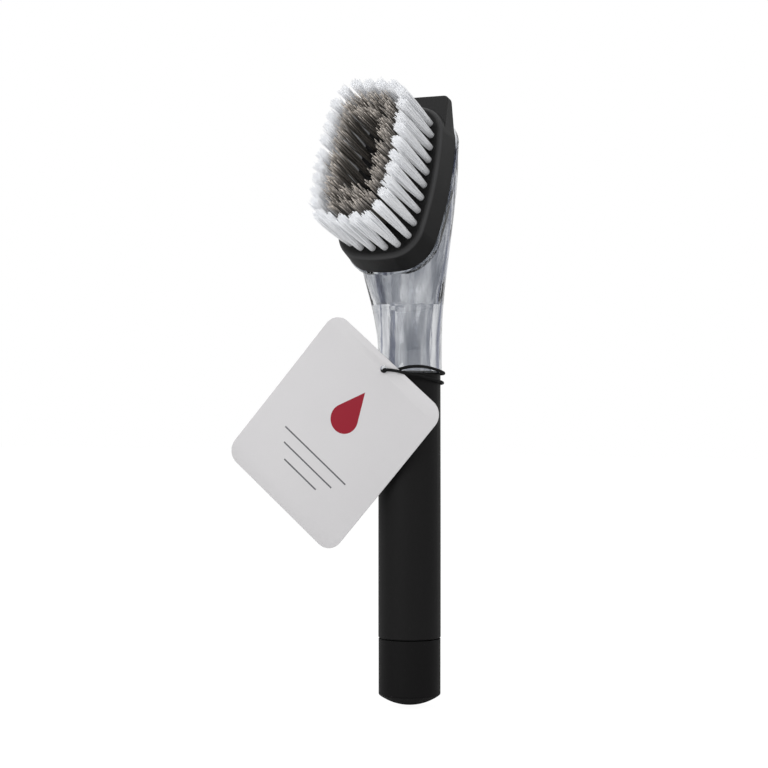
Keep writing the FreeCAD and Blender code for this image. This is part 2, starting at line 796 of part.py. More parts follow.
def make_tuft_anchors():
    """Metal plates that hold the tufts at the bottom of their holes."""
    width = size("anchor_width")
    thick = size("anchor_thickness")
    corner = Vector(-width / 2, -thick / 2, size(HOLE_END))
    plate = Part.makeBox(width, thick, size("anchor_height"), corner)
    plates = [plate.translated(point) for point in white_points() + grey_points()]
    return solid_feature("tuft_anchors", Part.makeCompound(plates), on_head=True)


# Outlet valve, plunger and button

def make_valve_seat():
    """Ring pressed into the outlet, which the disc closes on."""
    outer = "outlet_radius - seat_clearance"
    back = f"{SEAT_FRONT} - seat_length"
    return ring("valve_seat", "seat_bore_radius", outer, back, SEAT_FRONT, on_head=True)


def make_poppet_seal():
    """Rubber disc on the front end of the plunger."""
    bore = "stem_neck_radius + seat_clearance"
    return ring("poppet_seal", bore, "poppet_radius", SEAT_FRONT, POPPET_FRONT, on_head=True)


def make_plunger_stem():
    """Rod from the button to the disc, with the collar that the spring pushes on."""
    head_back = f"{POPPET_FRONT} + seat_clearance"
    head_front = f"{head_back} + stem_head_thickness"
    corners = [
        ("0", STEM_END),
        ("stem_radius", STEM_END),
        ("stem_radius", DIAPHRAGM_FRONT),
        ("collar_radius", DIAPHRAGM_FRONT),
        ("collar_radius", COLLAR_FRONT),
        ("stem_radius", COLLAR_FRONT),
        ("stem_radius", f"{SEAT_FRONT} - seat_clearance"),
        ("stem_neck_radius", f"{SEAT_FRONT} - seat_clearance"),
        ("stem_neck_radius", head_back),
        ("stem_head_radius", head_back),
        ("stem_head_radius", head_front),
        ("0", head_front),
    ]
    return turned("plunger_stem", corners, on_head=True)


def make_stem_guide():
    """Ring and hub on the back of the block, joined by arms that let the soap through."""
    inner = "guide_radius - guide_ring_width"
    body = ring("stem_guide", inner, "guide_radius", GUIDE_BACK, BLOCK_BACK, on_head=True)
    sketch = new_sketch(body, "guide_arm", "XY_Plane", GUIDE_BACK)
    half = "guide_arm_width / 2"
    reach = "guide_radius - guide_ring_width / 2"
    draw_outline(sketch, [("0", f"-{half}"), (reach, f"-{half}"), (reach, half), ("0", half)])
    arm = body.newObject("PartDesign::Pad", "guide_arm_pad")
    arm.Profile = sketch
    arm.setExpression("Length", bind("guide_thickness"))
    doc.recompute()
    arms = body.newObject("PartDesign::PolarPattern", "guide_arms")
    arms.Originals = [arm]
    arms.Axis = (sketch, ["N_Axis"])
    arms.Angle = 360
    arms.setExpression("Occurrences", bind("guide_arm_count"))
    body.Tip = arms
    for name, radius, kind in (
        ("guide_hub", "guide_hub_radius", "Pad"),
        ("guide_bore", "stem_radius + stem_clearance", "Pocket"),
    ):
        circle = new_sketch(body, name, "XY_Plane", GUIDE_BACK)
        circle.addGeometry(Part.Circle(Vector(0, 0, 0), Vector(0, 0, 1), size(radius)))
        circle.addConstraint(Sketcher.Constraint("Coincident", 0, 3, -1, 1))
        constrain(circle, "Radius", (0,), radius)
        feature = body.newObject(f"PartDesign::{kind}", f"{name}_feature")
        feature.Profile = circle
        feature.setExpression("Length", bind("guide_thickness"))
        feature.Reversed = kind == "Pocket"
        doc.recompute()
    return body


def make_return_spring():
    """Coil spring between the guide and the plunger's collar."""
    wire = size("spring_wire")
    radius = size("spring_radius")
    turns = size("spring_turns")
    rise = size("spring_length - spring_wire - 2 * spring_end_gap")
    low = size(f"{COLLAR_FRONT} + spring_wire / 2 + spring_end_gap")
    steps = int(round(turns * 4))
    climb = rise / (2 * math.pi * turns)

    def place(angle):
        return Vector(radius * math.cos(angle), radius * math.sin(angle), low + climb * angle)

    def heading(angle):
        return Vector(-radius * math.sin(angle), radius * math.cos(angle), climb).normalize()

    angles = [2 * math.pi * turns * index / steps for index in range(steps + 1)]
    path = smooth_path([place(angle) for angle in angles], heading(angles[0]), heading(angles[-1]))
    spring = tube_along(path, wire, place(angles[0]), heading(angles[0]))
    report_tube("return_spring", path, wire, spring)
    return solid_feature("return_spring", spring, on_head=True)


def make_diaphragm():
    """Flexible wall between the soap and the button."""
    outer = "turret_bore_radius - sleeve_clearance"
    bore = "stem_radius + seat_clearance"
    return ring("diaphragm", bore, outer, DIAPHRAGM_BACK, DIAPHRAGM_FRONT, on_head=True)


def make_diaphragm_ring():
    """Ring that clamps the diaphragm on the turret's ledge."""
    outer = "turret_bore_radius - sleeve_clearance"
    return ring("diaphragm_ring", "ring_bore_radius", outer, RING_BACK, DIAPHRAGM_BACK, on_head=True)


def make_push_button():
    """Button with the flange that keeps it in and a socket for the plunger."""
    dome_radius = "(button_radius^2 + button_dome^2) / (2 * button_dome)"
    socket = "stem_radius + seat_clearance"
    corners = [
        ("0", f"{BUTTON_EDGE} - button_dome", dome_radius),
        ("button_radius", BUTTON_EDGE),
        ("button_radius", FLANGE_BACK),
        ("button_flange_radius", FLANGE_BACK),
        ("button_flange_radius", FLANGE_FRONT),
        ("hub_radius", FLANGE_FRONT),
        ("hub_radius", DIAPHRAGM_BACK),
        (socket, DIAPHRAGM_BACK),
        (socket, f"{STEM_END} - seat_clearance"),
        ("0", f"{STEM_END} - seat_clearance"),
    ]
    body = turned("push_button", corners, on_head=True)
    round_edges(body, "bezel_edge_round", lambda edge: circle_at(edge, "button_radius", BUTTON_EDGE))
    return body


def make_button_bezel():
    """Ring pressed into the turret, with a lip over its end."""
    bore = "button_radius + bezel_clearance"
    spigot = "turret_bore_radius - sleeve_clearance"
    lip = f"{TURRET_END} - bezel_lip"
    corners = [
        (bore, lip),
        ("turret_radius", lip),
        ("turret_radius", TURRET_END),
        (spigot, TURRET_END),
        (spigot, RING_BACK),
        (bore, RING_BACK),
    ]
    body = turned("button_bezel", corners, on_head=True)
    round_edges(body, "bezel_edge_round", lambda edge: circle_at(edge, "turret_radius", lip))
    return body


# Card tag on its elastic loop

def tag_placement():
    """Placement of the tag's frame: X to the right along the tag, Y up, Z away from the handle."""
    facing = Rotation(Vector(0, 0, 1), size("tag_azimuth"))
    return Placement(Vector(0, 0, 0), facing * Rotation(Vector(1, 0, 0), 90))


def make_hang_tag():
    """Card with rounded corners, hung by a hole near its top edge."""
    body = new_body("hang_tag")
    hole = Vector(-size("tag_hole_side"), size("tag_hole_height"), size("tag_offset"))
    slant = Placement(hole, Rotation(Vector(0, 0, 1), -size("tag_slant")))
    body.Placement = tag_placement().multiply(slant)
    sketch = new_sketch(body, "tag_outline", "XY_Plane")
    half = "tag_width / 2"
    round_off = "tag_corner_radius"
    top = "tag_height / 2 - tag_hole_rise"
    low = "-tag_height / 2 - tag_hole_rise"
    corners = [
        (f"-{half} + {round_off}", low),
        (f"{half} - {round_off}", low, round_off),
        (half, f"{low} + {round_off}"),
        (half, f"{top} - {round_off}", round_off),
        (f"{half} - {round_off}", top),
        (f"-{half} + {round_off}", top, round_off),
        (f"-{half}", f"{top} - {round_off}"),
        (f"-{half}", f"{low} + {round_off}", round_off),
    ]
    draw_outline(sketch, corners)
    hole_index = sketch.addGeometry(Part.Circle(Vector(0, 0, 0), Vector(0, 0, 1), size("tag_hole_radius")))
    sketch.addConstraint(Sketcher.Constraint("Coincident", hole_index, 3, -1, 1))
    constrain(sketch, "Radius", (hole_index,), "tag_hole_radius")
    pad = body.newObject("PartDesign::Pad", "tag_pad")
    pad.Profile = sketch
    pad.setExpression("Length", bind("tag_thickness"))
    return body


# The loop's route: angle round the neck from the tag's normal, then distance outside the neck and height
# above the tag's hole, both in the loop's diameters.
# It leaves the tag's hole to the front, winds twice round the neck and comes back to the knot behind the tag.
LOOP_ROUTE = [
    (7, 2.9, -0.35),
    (14, 2.75, -0.7),
    (30, 1.4, -1.65),
    (57, 0.55, -3.3),
    (95, 0.28, -4.7),
    (140, 0.25, -5.0),
    (185, 0.25, -4.9),
    (230, 0.25, -4.45),
    (275, 0.25, -3.75),
    (320, 0.4, -3.0),
    (345, 0.75, -1.9),
    (365, 0.96, 0.1),
    (390, 1.0, 1.15),
    (415, 1.0, 0.7),
    (455, 0.8, -1.15),
    (500, 0.66, -1.6),
    (545, 0.65, -1.6),
    (590, 0.65, -1.3),
    (635, 0.68, -0.85),
    (672, 0.9, -0.4),
]


def make_tag_loop():
    """Elastic loop through the tag's hole, twice round the neck, with its knot behind the tag."""
    wire = size("loop_diameter")
    bend = size("loop_bend")
    frame = tag_placement()

    def place(right, up, out):
        return frame.multVec(Vector(right, up, out))

    side = -size("tag_hole_side")
    height = size("tag_hole_height")
    knot = place(side, height, size("knot_offset"))
    front = size("tag_offset + tag_thickness")
    turn = place(side, height, front - bend / 2)
    corner = place(side + bend * (1 - math.sqrt(0.5)), height, front + bend * (math.sqrt(0.5) - 0.5))
    over = place(side + bend, height, front + bend / 2)
    route = []
    for angle, lift, rise in LOOP_ROUTE:
        around = math.radians(angle)
        radius = size("neck_radius") + lift * wire
        route.append(place(radius * math.sin(around), height + rise * wire, radius * math.cos(around)))
    out = frame.Rotation.multVec(Vector(0, 0, 1))
    right = frame.Rotation.multVec(Vector(1, 0, 0))
    arrive = (knot - route[-1]).normalize()
    winding = smooth_path([over, *route, knot], right, arrive)
    edges = [Part.LineSegment(knot, turn).toShape(), Part.Arc(turn, corner, over).toShape(), *winding.Edges]
    path = Part.Wire(Part.__sortEdges__(edges))
    tube = tube_along(path, wire, knot, out)
    report_tube("tag_loop", winding, wire, tube_along(winding, wire, over, right))
    ball = Part.makeSphere(size("knot_radius"), knot)
    return solid_feature("tag_loop", tube.fuse(ball))


parts = [
    make_grip_sleeve(),
    make_reservoir_tube(),
    make_clear_housing(),
    make_neck_seal(),
    make_end_cap(),
    make_cap_insert(),
    make_cap_gasket(),
    make_brush_block(),
    make_head_seal(),
    tuft_group("white_tufts", white_points(), "white_tip_radius"),
    tuft_group("grey_tufts", grey_points(), "grey_tip_radius"),
    make_tuft_anchors(),
    make_valve_seat(),
    make_poppet_seal(),
    make_plunger_stem(),
    make_stem_guide(),
    make_return_spring(),
    make_diaphragm(),
    make_diaphragm_ring(),
    make_push_button(),
    make_button_bezel(),
    make_hang_tag(),
    make_tag_loop(),
]
doc.recompute()

for item in doc.Objects:
    if "Invalid" in item.State or "Error" in item.State:
        raise RuntimeError(f"{item.Label} failed: {item.State}")
for part in parts:
    if part.Shape.isNull() or not part.Shape.isValid():
        raise RuntimeError(f"{part.Label} has no valid shape")

os.makedirs("parts", exist_ok=True)
for part in parts:
    part.Shape.exportStep(f"parts/{part.Label}.step")
    print(f"{part.Label}: {len(part.Shape.Solids)} solids, {part.Shape.Volume:.1f} mm3")
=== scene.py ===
"""Looks of a soap-dispensing sink brush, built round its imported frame.

Lengths in the dataclasses are millimetres in the wand's frame: Z runs up the handle, the bristles face -Y.
"""

from __future__ import annotations

import json
import logging
import math
import random
from dataclasses import dataclass
from enum import Enum
from functools import reduce
from typing import Any

import bpy
from mathutils import Matrix, Vector

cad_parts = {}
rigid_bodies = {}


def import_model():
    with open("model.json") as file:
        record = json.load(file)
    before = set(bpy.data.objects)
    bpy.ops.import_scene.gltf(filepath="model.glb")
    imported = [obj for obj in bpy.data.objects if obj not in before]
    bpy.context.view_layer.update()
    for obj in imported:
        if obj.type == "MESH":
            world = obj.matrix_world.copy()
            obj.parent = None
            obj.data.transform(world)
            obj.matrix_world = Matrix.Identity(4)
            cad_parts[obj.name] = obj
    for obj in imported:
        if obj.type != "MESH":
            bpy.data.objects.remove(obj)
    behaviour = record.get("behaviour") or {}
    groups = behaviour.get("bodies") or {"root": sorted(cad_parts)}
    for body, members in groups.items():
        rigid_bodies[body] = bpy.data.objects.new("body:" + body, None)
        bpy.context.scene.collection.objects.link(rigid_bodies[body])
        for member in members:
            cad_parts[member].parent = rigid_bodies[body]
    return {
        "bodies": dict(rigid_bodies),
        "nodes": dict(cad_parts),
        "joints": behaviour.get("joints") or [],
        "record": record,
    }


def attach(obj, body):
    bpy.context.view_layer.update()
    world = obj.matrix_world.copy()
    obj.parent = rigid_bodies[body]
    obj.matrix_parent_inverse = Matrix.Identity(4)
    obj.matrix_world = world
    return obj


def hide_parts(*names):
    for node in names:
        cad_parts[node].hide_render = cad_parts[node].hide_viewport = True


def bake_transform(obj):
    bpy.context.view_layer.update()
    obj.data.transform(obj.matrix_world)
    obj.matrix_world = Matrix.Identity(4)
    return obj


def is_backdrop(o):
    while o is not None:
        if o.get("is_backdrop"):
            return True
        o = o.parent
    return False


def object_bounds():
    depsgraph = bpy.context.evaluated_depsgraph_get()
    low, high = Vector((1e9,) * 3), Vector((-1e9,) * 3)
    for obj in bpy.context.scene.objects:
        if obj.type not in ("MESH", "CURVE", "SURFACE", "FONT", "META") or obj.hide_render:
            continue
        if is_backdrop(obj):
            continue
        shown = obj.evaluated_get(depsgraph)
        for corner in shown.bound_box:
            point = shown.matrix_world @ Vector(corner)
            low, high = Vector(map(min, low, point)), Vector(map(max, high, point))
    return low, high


LOG = logging.getLogger("sink_brush")
MM = 0.001
# Middle of a noise that runs from 0 to 1
NOISE_MIDDLE = 0.5
Color = tuple[float, float, float]
Point = tuple[float, float, float]


class Bench:
    """Modelling steps that act on one piece at a time."""

    @staticmethod
    def clear() -> None:
        """Leave nothing selected, in object mode."""
        if bpy.context.mode != "OBJECT":
            bpy.ops.object.mode_set(mode="OBJECT")
        bpy.ops.object.select_all(action="DESELECT")

    @classmethod
    def take(cls, *pieces: bpy.types.Object) -> None:
        """Select these pieces alone, the first of them active.

        Args:
            pieces: What the next operators act on.
        """
        cls.clear()
        for piece in pieces:
            piece.select_set(True)
        bpy.context.view_layer.objects.active = pieces[0]

    @classmethod
    def primitive(cls, kind: str, name: str, **settings: Any) -> bpy.types.Object:
        """Add a primitive to shape further.

        Args:
            kind: The primitive's name in bpy.ops.mesh, without its ending.
            name: Name of the new piece.
            settings: Sizes and place of the primitive.

        Returns:
            The new piece, active and selected alone.
        """
        cls.clear()
        getattr(bpy.ops.mesh, f"primitive_{kind}_add")(**settings)
        piece = bpy.context.active_object
        piece.name = name
        piece.data.name = name
        return piece

    @classmethod
    def edit(cls, piece: bpy.types.Object, kind: str) -> None:
        """Go into edit mode with the whole of a piece selected.

        Args:
            piece: The piece to edit.
            kind: What the next operators act on, VERT or FACE.
        """
        cls.take(piece)
        bpy.ops.object.mode_set(mode="EDIT")
        bpy.ops.mesh.select_mode(type=kind)
        bpy.ops.mesh.select_all(action="SELECT")

    @classmethod
    def modify(cls, piece: bpy.types.Object, kind: str, **settings: Any) -> None:
        """Add a modifier and apply it.

        Args:
            piece: The piece to finish.
            kind: Type of the modifier.
            settings: Its settings.
        """
        cls.take(piece)
        modifier = piece.modifiers.new(kind.lower(), kind)
        for name, setting in settings.items():
            setattr(modifier, name, setting)
        bpy.ops.object.modifier_apply(modifier=modifier.name)

    @classmethod
    def smooth(cls, piece: bpy.types.Object, degrees: float) -> None:
        """Shade a piece smooth where its faces meet at less than an angle."""
        cls.take(piece)
        bpy.ops.object.shade_smooth_by_angle(angle=math.radians(degrees))

    @staticmethod
    def face_outward() -> None:
        """Point all the faces of the piece in edit mode outwards."""
        bpy.ops.mesh.select_all(action="SELECT")
        bpy.ops.mesh.normals_make_consistent(inside=False)

    @staticmethod
    def paint(piece: bpy.types.Object, material: bpy.types.Material) -> None:
        """Give a piece one material."""
        piece.data.materials.clear()
        piece.data.materials.append(material)

    @classmethod
    def fix(cls, piece: bpy.types.Object) -> None:
        """Put a piece's place, turn and scale into its mesh."""
        cls.take(piece)
        bpy.ops.object.transform_apply(location=True, rotation=True, scale=True)

    @classmethod
    def settle(cls, piece: bpy.types.Object, place: Matrix) -> None:
        """Bring a piece from a frame to its place, in its mesh, with its object at the origin."""
        cls.fix(piece)
        piece.data.transform(place)

    @staticmethod
    def twin(piece: bpy.types.Object, place: Matrix) -> bpy.types.Object:
        """Copy a piece with its own mesh.

        Args:
            piece: The piece to copy.
            place: Where the copy's mesh goes.

        Returns:
            The copy.
        """
        copy = piece.copy()
        copy.data = piece.data.copy()
        copy.data.transform(place)
        bpy.context.scene.collection.objects.link(copy)
        return copy

    @classmethod
    def join(cls, name: str, pieces: list[bpy.types.Object]) -> bpy.types.Object:
        """Join pieces into one.

        Args:
            name: Name of the joined piece.
            pieces: The pieces, of which the first is kept.

        Returns:
            The joined piece.
        """
        cls.take(*pieces)
        bpy.ops.object.join()
        pieces[0].name = name
        pieces[0].data.name = name
        return pieces[0]


class Value:
    """A number or vector that a shader works out, with the sums it takes part in."""

    def __init__(self, tree: ShaderTree, socket: bpy.types.NodeSocket) -> None:
        """Wrap an output socket of a tree's node."""
        self.tree = tree
        self.socket = socket

    def sum(self, operation: str, *entries: Any) -> Value:
        """Result of a Math node on these entries."""
        node = self.tree.add("ShaderNodeMath", {"operation": operation}, dict(enumerate(entries)))
        return Value(self.tree, node.outputs[0])

    def __add__(self, other: Any) -> Value:
        """This plus another."""
        return self.sum("ADD", self, other)

    __radd__ = __add__

    def __sub__(self, other: Any) -> Value:
        """This less another."""
        return self.sum("SUBTRACT", self, other)

    def __rsub__(self, other: Any) -> Value:
        """Another less this."""
        return self.sum("SUBTRACT", other, self)

    def __mul__(self, other: Any) -> Value:
        """This times another."""
        return self.sum("MULTIPLY", self, other)

    __rmul__ = __mul__

    def __truediv__(self, other: Any) -> Value:
        """This over another."""
        return self.sum("DIVIDE", self, other)

    def __pow__(self, other: Any) -> Value:
        """This to a power."""
        return self.sum("POWER", self, other)

    def __abs__(self) -> Value:
        """This without its sign."""
        return self.sum("ABSOLUTE", self)

    def sine(self) -> Value:
        """Sine of this, in radians."""
        return self.sum("SINE", self)

    def above(self, edge: Any) -> Value:
        """1 where this is more than an edge, 0 elsewhere."""
        return self.sum("GREATER_THAN", self, edge)

    def below(self, edge: Any) -> Value:
        """1 where this is less than an edge, 0 elsewhere."""
        return self.sum("LESS_THAN", self, edge)

    def least(self, other: Any) -> Value:
        """The lesser of this and another."""
        return self.sum("MINIMUM", self, other)

    def most(self, other: Any) -> Value:
        """The greater of this and another."""
        return self.sum("MAXIMUM", self, other)

    def held(self) -> Value:
        """This, kept between 0 and 1."""
        return self.most(0.0).least(1.0)

    def swing(self, width: float) -> Value:
        """A noise made to swing evenly round 0, over a width."""
        return (self - NOISE_MIDDLE) * width


class ShaderTree:
    """A material's nodes round one Principled shader."""

    def __init__(self, name: str) -> None:
        """Start a material.

        Args:
            name: The material's name.
        """
        self.material = bpy.data.materials.new(name)
        self.material.use_nodes = True
        tree = self.material.node_tree
        tree.nodes.clear()
        self.nodes = tree.nodes
        self.links = tree.links
        self.surface = tree.nodes.new("ShaderNodeBsdfPrincipled")
        output = tree.nodes.new("ShaderNodeOutputMaterial")
        self.links.new(self.surface.outputs["BSDF"], output.inputs["Surface"])

    def add(
        self,
        kind: str,
        settings: dict[str, Any] | None = None,
        inputs: dict[int | str, Any] | None = None,
    ) -> bpy.types.Node:
        """Add a node.

        Args:
            kind: The node's type.
            settings: Its settings, such as a Math node's operation.
            inputs: Numbers, colours or values for its sockets.

        Returns:
            The new node.
        """
        node = self.nodes.new(kind)
        for name, setting in (settings or {}).items():
            setattr(node, name, setting)
        for key, entry in (inputs or {}).items():
            self.feed(node.inputs[key], entry)
        return node

    def feed(self, socket: bpy.types.NodeSocket, entry: Any) -> None:
        """Link a value to a socket, or set a number, colour or vector on it.

        Args:
            socket: The socket to feed.
            entry: What feeds it.
        """
        if isinstance(entry, Value):
            self.links.new(entry.socket, socket)
        elif socket.type == "RGBA" and len(entry) == 3:
            socket.default_value = (*entry, 1.0)
        else:
            socket.default_value = entry

    def dress(self, **sockets: Any) -> None:
        """Feed the Principled shader's sockets, named with _ for a space."""
        for name, entry in sockets.items():
            self.feed(self.surface.inputs[name.replace("_", " ").title().replace("Ior", "IOR")], entry)

    def position(self) -> Value:
        """Place on the piece, in metres in the wand's frame."""
        return Value(self, self.add("ShaderNodeTexCoord").outputs["Object"])

    def facing(self, axis: Vector) -> Value:
        """How far the surface faces along an axis.

        Args:
            axis: The axis, in the wand's frame.

        Returns:
            From -1, facing away, to 1.
        """
        normal = Value(self, self.add("ShaderNodeTexCoord").outputs["Normal"])
        node = self.add("ShaderNodeVectorMath", {"operation": "DOT_PRODUCT"}, {0: normal, 1: axis})
        return Value(self, node.outputs["Value"])

    def attribute(self, name: str) -> Value:
        """A number kept on the piece's points."""
        return Value(self, self.add("ShaderNodeAttribute", {"attribute_name": name}).outputs["Fac"])

    def mapped(self, where: Value, **sockets: Any) -> Value:
        """Move, turn or scale a place by a Mapping node.

        Args:
            where: The place.
            sockets: The node's location, rotation and scale.

        Returns:
            The new place.
        """
        inputs = {name.title(): entry for name, entry in sockets.items()}
        node = self.add("ShaderNodeMapping", {"vector_type": "TEXTURE"}, {"Vector": where, **inputs})
        return Value(self, node.outputs["Vector"])

    def local(self, where: Value, frame: Matrix) -> tuple[Value, Value, Value]:
        """Measure a place in another frame.

        Args:
            where: The place.
            frame: The other frame.

        Returns:
            Its three numbers there, in millimetres.
        """
        turn = tuple(frame.to_euler("XYZ"))
        spot = self.mapped(where, location=frame.translation, rotation=turn, scale=(MM, MM, MM))
        return self.parts(spot)

    def parts(self, where: Value) -> tuple[Value, Value, Value]:
        """The three numbers of a place."""
        node = self.add("ShaderNodeSeparateXYZ", None, {"Vector": where})
        return Value(self, node.outputs[0]), Value(self, node.outputs[1]), Value(self, node.outputs[2])

    def noise(self, where: Value, cell: float, detail: float = 2.0, roughness: float = 0.5) -> Value:
        """Soft noise from 0 to 1.

        Args:
            where: Place on the piece.
            cell: Size of its patches in millimetres.
            detail: Levels of finer noise.
            roughness: Strength of the finer levels.

        Returns:
            The noise.
        """
        inputs = {"Vector": where, "Scale": 1 / (cell * MM), "Detail": detail, "Roughness": roughness}
        return Value(self, self.add("ShaderNodeTexNoise", None, inputs).outputs["Fac"])

    def tinted(self, color: Color, tone: Value) -> Value:
        """A colour made lighter or darker by a number."""
        node = self.add("ShaderNodeVectorMath", {"operation": "SCALE"}, {0: color, "Scale": tone})
        return Value(self, node.outputs["Vector"])

    def blend(self, share: Value, first: Any, second: Any) -> Value:
        """Mix of two colours.

        Args:
            share: How much of the second shows, from 0 to 1.
            first: One colour.
            second: The other colour.

        Returns:
            The mixed colour.
        """
        # A Mix node's colours are its sockets 6 and 7, and its third result
        node = self.add("ShaderNodeMix", {"data_type": "RGBA"}, {0: share, 6: first, 7: second})
        return Value(self, node.outputs[2])

    def relief(self, height: Value, depth: float) -> None:
        """Give the surface a relief.

        Args:
            height: Height of the relief, from 0 to 1.
            depth: Its full depth in millimetres.
        """
        inputs = {"Height": height, "Distance": depth * MM, "Strength": 1.0}
        self.dress(normal=Value(self, self.add("ShaderNodeBump", None, inputs).outputs["Normal"]))


@dataclass(frozen=True)
class MouldedFinish:
    """Opaque moulded plastic or rubber with a fine grain and a cloudy, handled sheen."""

    name: str
    color: Color
    roughness: float
    sheen: float = 0.2
    grain: float = 0.22
    grain_depth: float = 0.012
    mottle: float = 0.16
    cloud: float = 14.0
    # How far the roughness swings with the grain and with the cloud
    grain_gloss: float = 0.1
    cloud_gloss: float = 0.14
    # Painted highlight on a rounded rim: the frame of the face inside it, its depth in millimetres and its
    # tone
    highlight_face: Matrix | None = None
    highlight_depth: float = 2.0
    rim_highlight_tone: float = 0.0

    def material(self) -> bpy.types.Material:
        """Build the finish.

        Returns:
            The material.
        """
        tree = ShaderTree(self.name)
        where = tree.position()
        grain = tree.noise(where, self.grain, detail=1.0)
        cloud = tree.noise(where, self.cloud, detail=4.0, roughness=0.6)
        tone = 1 + cloud.swing(self.mottle) + grain.swing(self.mottle)
        # Painted highlight: a band along the face's rounded rim is made paler, where light would catch it
        if self.highlight_face:
            middle = self.highlight_depth / 2
            off = abs(tree.local(where, self.highlight_face)[2] + middle) / middle
            tone = tone + (1 - off * off).most(0.0) * self.rim_highlight_tone
        tree.dress(
            base_color=tree.tinted(self.color, tone),
            roughness=self.roughness + cloud.swing(self.cloud_gloss) + grain.swing(self.grain_gloss),
            specular_ior_level=self.sheen,
        )
        tree.relief(grain, self.grain_depth)
        return tree.material


@dataclass(frozen=True)
class ClearFinish:
    """Clear moulded plastic, its soft flow lines on the neck tinted lighter and darker by painted shade.
    """

    name: str
    light: Color
    painted_shade_tint: Color
    roughness: float
    ior: float
    flow_width: float
    flow_stretch: float
    flow_depth: float
    painted_streak: Color
    painted_streak_width: float
    # The painted shade turns from dark to light above this level of the flow noise, at this rate
    shade_level: float = 0.36
    shade_rate: float = 3.4
    # How fast the painted dark streak fades at its sides
    painted_streak_rate: float = 2.0
    haze: float = 6.0

    def material(self) -> bpy.types.Material:
        """Build the finish.

        Returns:
            The material.
        """
        tree = ShaderTree(self.name)
        where = tree.position()
        along = tree.mapped(where, scale=(1.0, 1.0, self.flow_stretch))
        flow = tree.noise(along, self.flow_width, detail=3.0, roughness=0.55)
        haze = tree.noise(where, self.haze, detail=4.0, roughness=0.6)
        # A painted dark streak where the housing is widest, at y = 0, for the dark surroundings seen
        # through it
        off = abs(tree.parts(where)[1]) / (self.painted_streak_width * MM)
        painted_streak = ((1 - off) * self.painted_streak_rate).held()
        # Painted shade: the tint darkens where the flow noise is low, for surroundings seen through the
        # plastic
        share = ((flow - self.shade_level) * self.shade_rate).held()
        tree.dress(
            base_color=tree.blend(painted_streak, tree.blend(share, self.painted_shade_tint, self.light), self.painted_streak),
            transmission_weight=1.0,
            ior=self.ior,
            roughness=self.roughness + haze.swing(self.roughness),
        )
        tree.relief(flow, self.flow_depth)
        return tree.material


@dataclass(frozen=True)
class FilamentFinish:
    """Nylon filaments, each a little lighter or darker than the next, with painted shade towards the root.
    """

    name: str
    color: Color
    # Painted shade: tone at the root beside the tip's, and the power that keeps the tip's tone near the
    # end
    shaded_root_tone: float
    tip_power: float
    spread: float
    roughness: float
    # Strength of the painted light that the filaments give off themselves
    painted_glow: float
    # Size of the specks along a filament, and how far the roughness swings with them
    speck: float = 0.5
    speck_gloss: float = 0.15

    def material(self) -> bpy.types.Material:
        """Build the finish, faintly self-lit with painted light that stands in for the light passing
        through the nylon.

        Returns:
            The material.
        """
        tree = ShaderTree(self.name)
        where = tree.position()
        strand = tree.attribute("strand")
        rise = tree.attribute("rise")
        speck = tree.noise(where, self.speck)
        # Painted shade: darker towards the root, where a tuft shades itself
        tone = self.shaded_root_tone + rise**self.tip_power * (1 - self.shaded_root_tone)
        tone = tone * (1 + strand.swing(self.spread) + speck.swing(self.spread / 2))
        color = tree.tinted(self.color, tone)
        tree.dress(
            base_color=color,
            roughness=self.roughness + speck.swing(self.speck_gloss),
            # Painted glow: the filaments give off light of their own colour, standing in for light through
            # the nylon
            emission_color=color,
            emission_strength=self.painted_glow,
        )
        return tree.material


@dataclass(frozen=True)
class MetalFinish:
    """Drawn steel wire and strip."""

    name: str
    color: Color
    roughness: float
    # The drawn streaks' width, stretch and depth, and how far tone and roughness swing with them
    streak: float = 0.3
    streak_stretch: float = 8.0
    streak_depth: float = 0.004
    streak_tone: float = 0.2
    streak_gloss: float = 0.2

    def material(self) -> bpy.types.Material:
        """Build the finish.

        Returns:
            The material.
        """
        tree = ShaderTree(self.name)
        along = tree.mapped(tree.position(), scale=(1.0, self.streak_stretch, 1.0))
        drawn = tree.noise(along, self.streak, detail=3.0)
        tree.dress(
            base_color=tree.tinted(self.color, 1 + drawn.swing(self.streak_tone)),
            metallic=1.0,
            roughness=self.roughness + drawn.swing(self.streak_gloss),
        )
        tree.relief(drawn, self.streak_depth)
        return tree.material


@dataclass(frozen=True)
class ElasticFinish:
    """Braided elastic cord."""

    name: str
    color: Color
    roughness: float = 0.62
    sheen: float = 0.1
    # Waves of the braid round and up the neck, in radians per metre, and its depth
    braid_across: float = 900.0
    braid_up: float = 4500.0
    braid_depth: float = 0.05
    # Tone in the dips of the braid, and what the braid and the fuzz add to it
    dip_tone: float = 0.7
    braid_tone: float = 0.4
    fuzz_tone: float = 0.4
    fuzz: float = 0.15
    fuzz_gloss: float = 0.3

    def material(self) -> bpy.types.Material:
        """Build the finish.

        Returns:
            The material.
        """
        tree = ShaderTree(self.name)
        where = tree.position()
        x, y, z = tree.parts(where)
        wave = ((x - y) * self.braid_across + z * self.braid_up).sine()
        braid = (wave + 1) / 2
        fuzz = tree.noise(where, self.fuzz)
        tone = self.dip_tone + braid * self.braid_tone + fuzz * self.fuzz_tone
        tree.dress(
            base_color=tree.tinted(self.color, tone),
            roughness=self.roughness + fuzz.swing(self.fuzz_gloss),
            specular_ior_level=self.sheen,
        )
        tree.relief(braid, self.braid_depth)
        return tree.material


